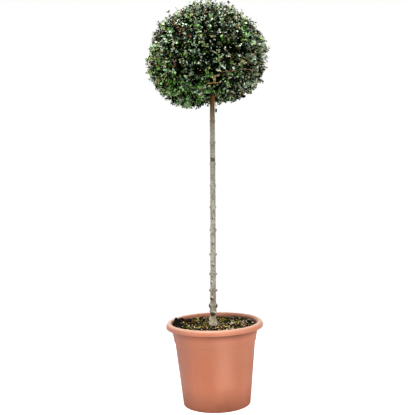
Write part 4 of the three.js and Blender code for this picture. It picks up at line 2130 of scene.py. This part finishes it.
    def hang_leaf(self) -> None:
        """Hangs the one leaf beside the stem under the ball."""
        start = self.boughs.stem.centre(self.hanging_height) + Vector((0.0095, -0.003, 0))
        down = start + Vector((0.0045, -0.003, -0.016))
        stalk = bowed(start, Vector((0.012, 0, 0.002)), down, Vector((-0.002, 0, -0.014)), 3)
        self.shoots.put(stalk, [0.0009] * 4)
        along, face = Vector((0.05, 0, -1)).normalized(), Vector((0.75, -0.66, 0.0375)).normalized()
        turn = Matrix((along.cross(face), along, face)).transposed()
        self.leaves[TINTS[0].name].put(down, turn, self.hanging_size, 0)

    def build(self) -> None:
        """Grows and dresses the whole ball."""
        parents = self.grow_branches()
        self.grow_sprays(parents)
        self.grow_strays(parents)
        self.hang_leaf()
        self.grow_bare_shoots()
        tree = limb_tree()
        twig_bark = crumbly("twig bark", (74, 56, 38), (56, 44, 32), 150.0, 0.8)
        young_bark = crumbly("young shoot bark", (108, 82, 50), (88, 70, 42), 150.0, 0.7)
        for limbs, bark in ((self.twigs, twig_bark), (self.shoots, young_bark)):
            settle(limbs.grow(3, bark.make(self.effects), tree), "young_bark", "foliage_head")
        self.dress_leaves()

    def dress_leaves(self) -> None:
        """Makes the leaves of each tint as one piece."""
        shapes = []
        for _ in range(self.leaf_kinds):
            width, fold = self.rng.uniform(0.62, 0.78), self.rng.uniform(0.05, 0.32)
            shapes.append(Leaf(width, fold, self.rng.uniform(0.04, 0.24)).shape())
        tree = scatter_tree()
        for tint in TINTS:
            finish = PlainTint(tint.name.replace("_", " "), tint.tint, tint.roughness, tint.gloss).make()
            leaves = self.leaves[tint.name]
            piece = leaves.grow(f"leaves_{tint.name}", shapes, finish, tree, self.size_jitter, self.seed)
            settle(piece, "foliage", "foliage_head")


# Camera and light


@dataclass(frozen=True)
class Studio:
    """A pale floor, soft light from the front, the sides and above, and the camera."""

    lens: float = 62.2
    sensor: float = 36.0
    distance: float = 2.9487
    eye_height: float = 0.948
    pitch: float = math.degrees(0.0456)
    roll: float = math.degrees(0.0331)
    shift: float = -0.0079
    surround: float = 0.15
    floor_glow: float = 0.85

    def build(self) -> None:
        """Builds the floor, the lights, the surroundings and the camera."""
        scene = bpy.context.scene
        scene.view_settings.view_transform = "Standard"
        self.build_camera(scene)
        self.build_world(scene)
        self.build_light("front right light", (0.9, -3.2, 2.3), (0.0, 0.0, 0.9), 0.7, 19)
        self.build_light("front left light", (-1.5, -3.0, 1.9), (0.0, 0.0, 0.9), 0.6, 11.5)
        self.build_light("top light", (-0.4, -0.9, 3.6), (0.0, 0.0, 0.8), 1.3, 88)
        self.build_light("left light", (-2.6, -1.4, 1.0), (0.0, 0.0, 1.2), 0.9, 25)
        self.build_light("right light", (2.6, -1.2, 1.0), (0.0, 0.0, 1.2), 0.9, 26.5)
        self.build_floor()

    def build_camera(self, scene: Scene) -> None:
        """Sets the camera in front, at about chest height.

        Args:
            scene: The scene.
        """
        camera = bpy.data.objects.new("camera", bpy.data.cameras.new("camera"))
        camera.data.lens, camera.data.sensor_width = self.lens, self.sensor
        camera.data.shift_x = self.shift
        place = Matrix.Translation((0.0, -self.distance, self.eye_height))
        tip = Matrix.Rotation(math.radians(90 - self.pitch), 4, "X")
        camera.matrix_world = place @ tip @ Matrix.Rotation(math.radians(-self.roll), 4, "Z")
        scene.collection.objects.link(camera)
        scene.camera = camera

    def build_world(self, scene: Scene) -> None:
        """Makes the surroundings white to look at and softer as a light.

        Args:
            scene: The scene.
        """
        world = bpy.data.worlds.new("studio")
        world.use_nodes = True
        scene.world = world
        nodes = Nodes(world.node_tree)
        seen = nodes.add("ShaderNodeBackground", {"Color": (1, 1, 1, 1), "Strength": 1.0})
        lit = world.node_tree.nodes["Background"]
        lit.inputs["Color"].default_value = (0.95, 0.98, 1.0, 1.0)
        lit.inputs["Strength"].default_value = self.surround
        path = nodes.add("ShaderNodeLightPath").outputs
        ray = nodes.math("MAXIMUM", path["Is Camera Ray"], path["Is Glossy Ray"])
        mixed = nodes.add("ShaderNodeMixShader", {0: ray, 1: lit.outputs[0], 2: seen.outputs[0]})
        nodes.join(mixed.outputs[0], world.node_tree.nodes["World Output"].inputs["Surface"])

    def build_light(self, name: str, place: tuple, aim: tuple, width: float, power: float) -> None:
        """Adds a square soft light.

        Args:
            name: Its name.
            place: Where it hangs.
            aim: The point that it faces.
            width: The length of its side.
            power: Its power in watts.
        """
        lamp = bpy.data.lights.new(name, "AREA")
        lamp.shape, lamp.size, lamp.energy = "SQUARE", width, power
        light = bpy.data.objects.new(name, lamp)
        light.location = place
        light.rotation_euler = (Vector(aim) - Vector(place)).to_track_quat("-Z", "Y").to_euler()
        bpy.context.scene.collection.objects.link(light)

    def build_floor(self) -> None:
        """Adds the floor, which isn't part of the plant."""
        rim = [bearing(360 * i / 96) * 1.3 for i in range(96)]
        floor = to_object("floor", [tuple(p) for p in rim], [tuple(range(96))], False)
        material, nodes, shader = new_material("floor", 0.9, Specular_IOR_Level=0.1)
        shader.inputs["Base Color"].default_value = (0.93, 0.93, 0.93, 1.0)
        shader.inputs["Emission Color"].default_value = (1, 1, 1, 1)
        seen = nodes.add("ShaderNodeLightPath").outputs["Is Camera Ray"]
        nodes.join(nodes.times(seen, self.floor_glow), shader.inputs["Emission Strength"])
        floor.data.materials.append(material)


def main() -> None:
    """Builds the plant, its pot and the studio in order."""
    logging.basicConfig(level=logging.INFO, format="%(name)s: %(message)s")
    effects = Effects()
    Studio().build()
    pot = Pot(effects)
    pot.build()
    PottingMix(effects, pot).build()
    stem = Stem(effects)
    stem.build()
    boughs = Boughs(effects, stem)
    boughs.build()
    Ball(effects, boughs).build()


if __name__ == "__main__":
    main()
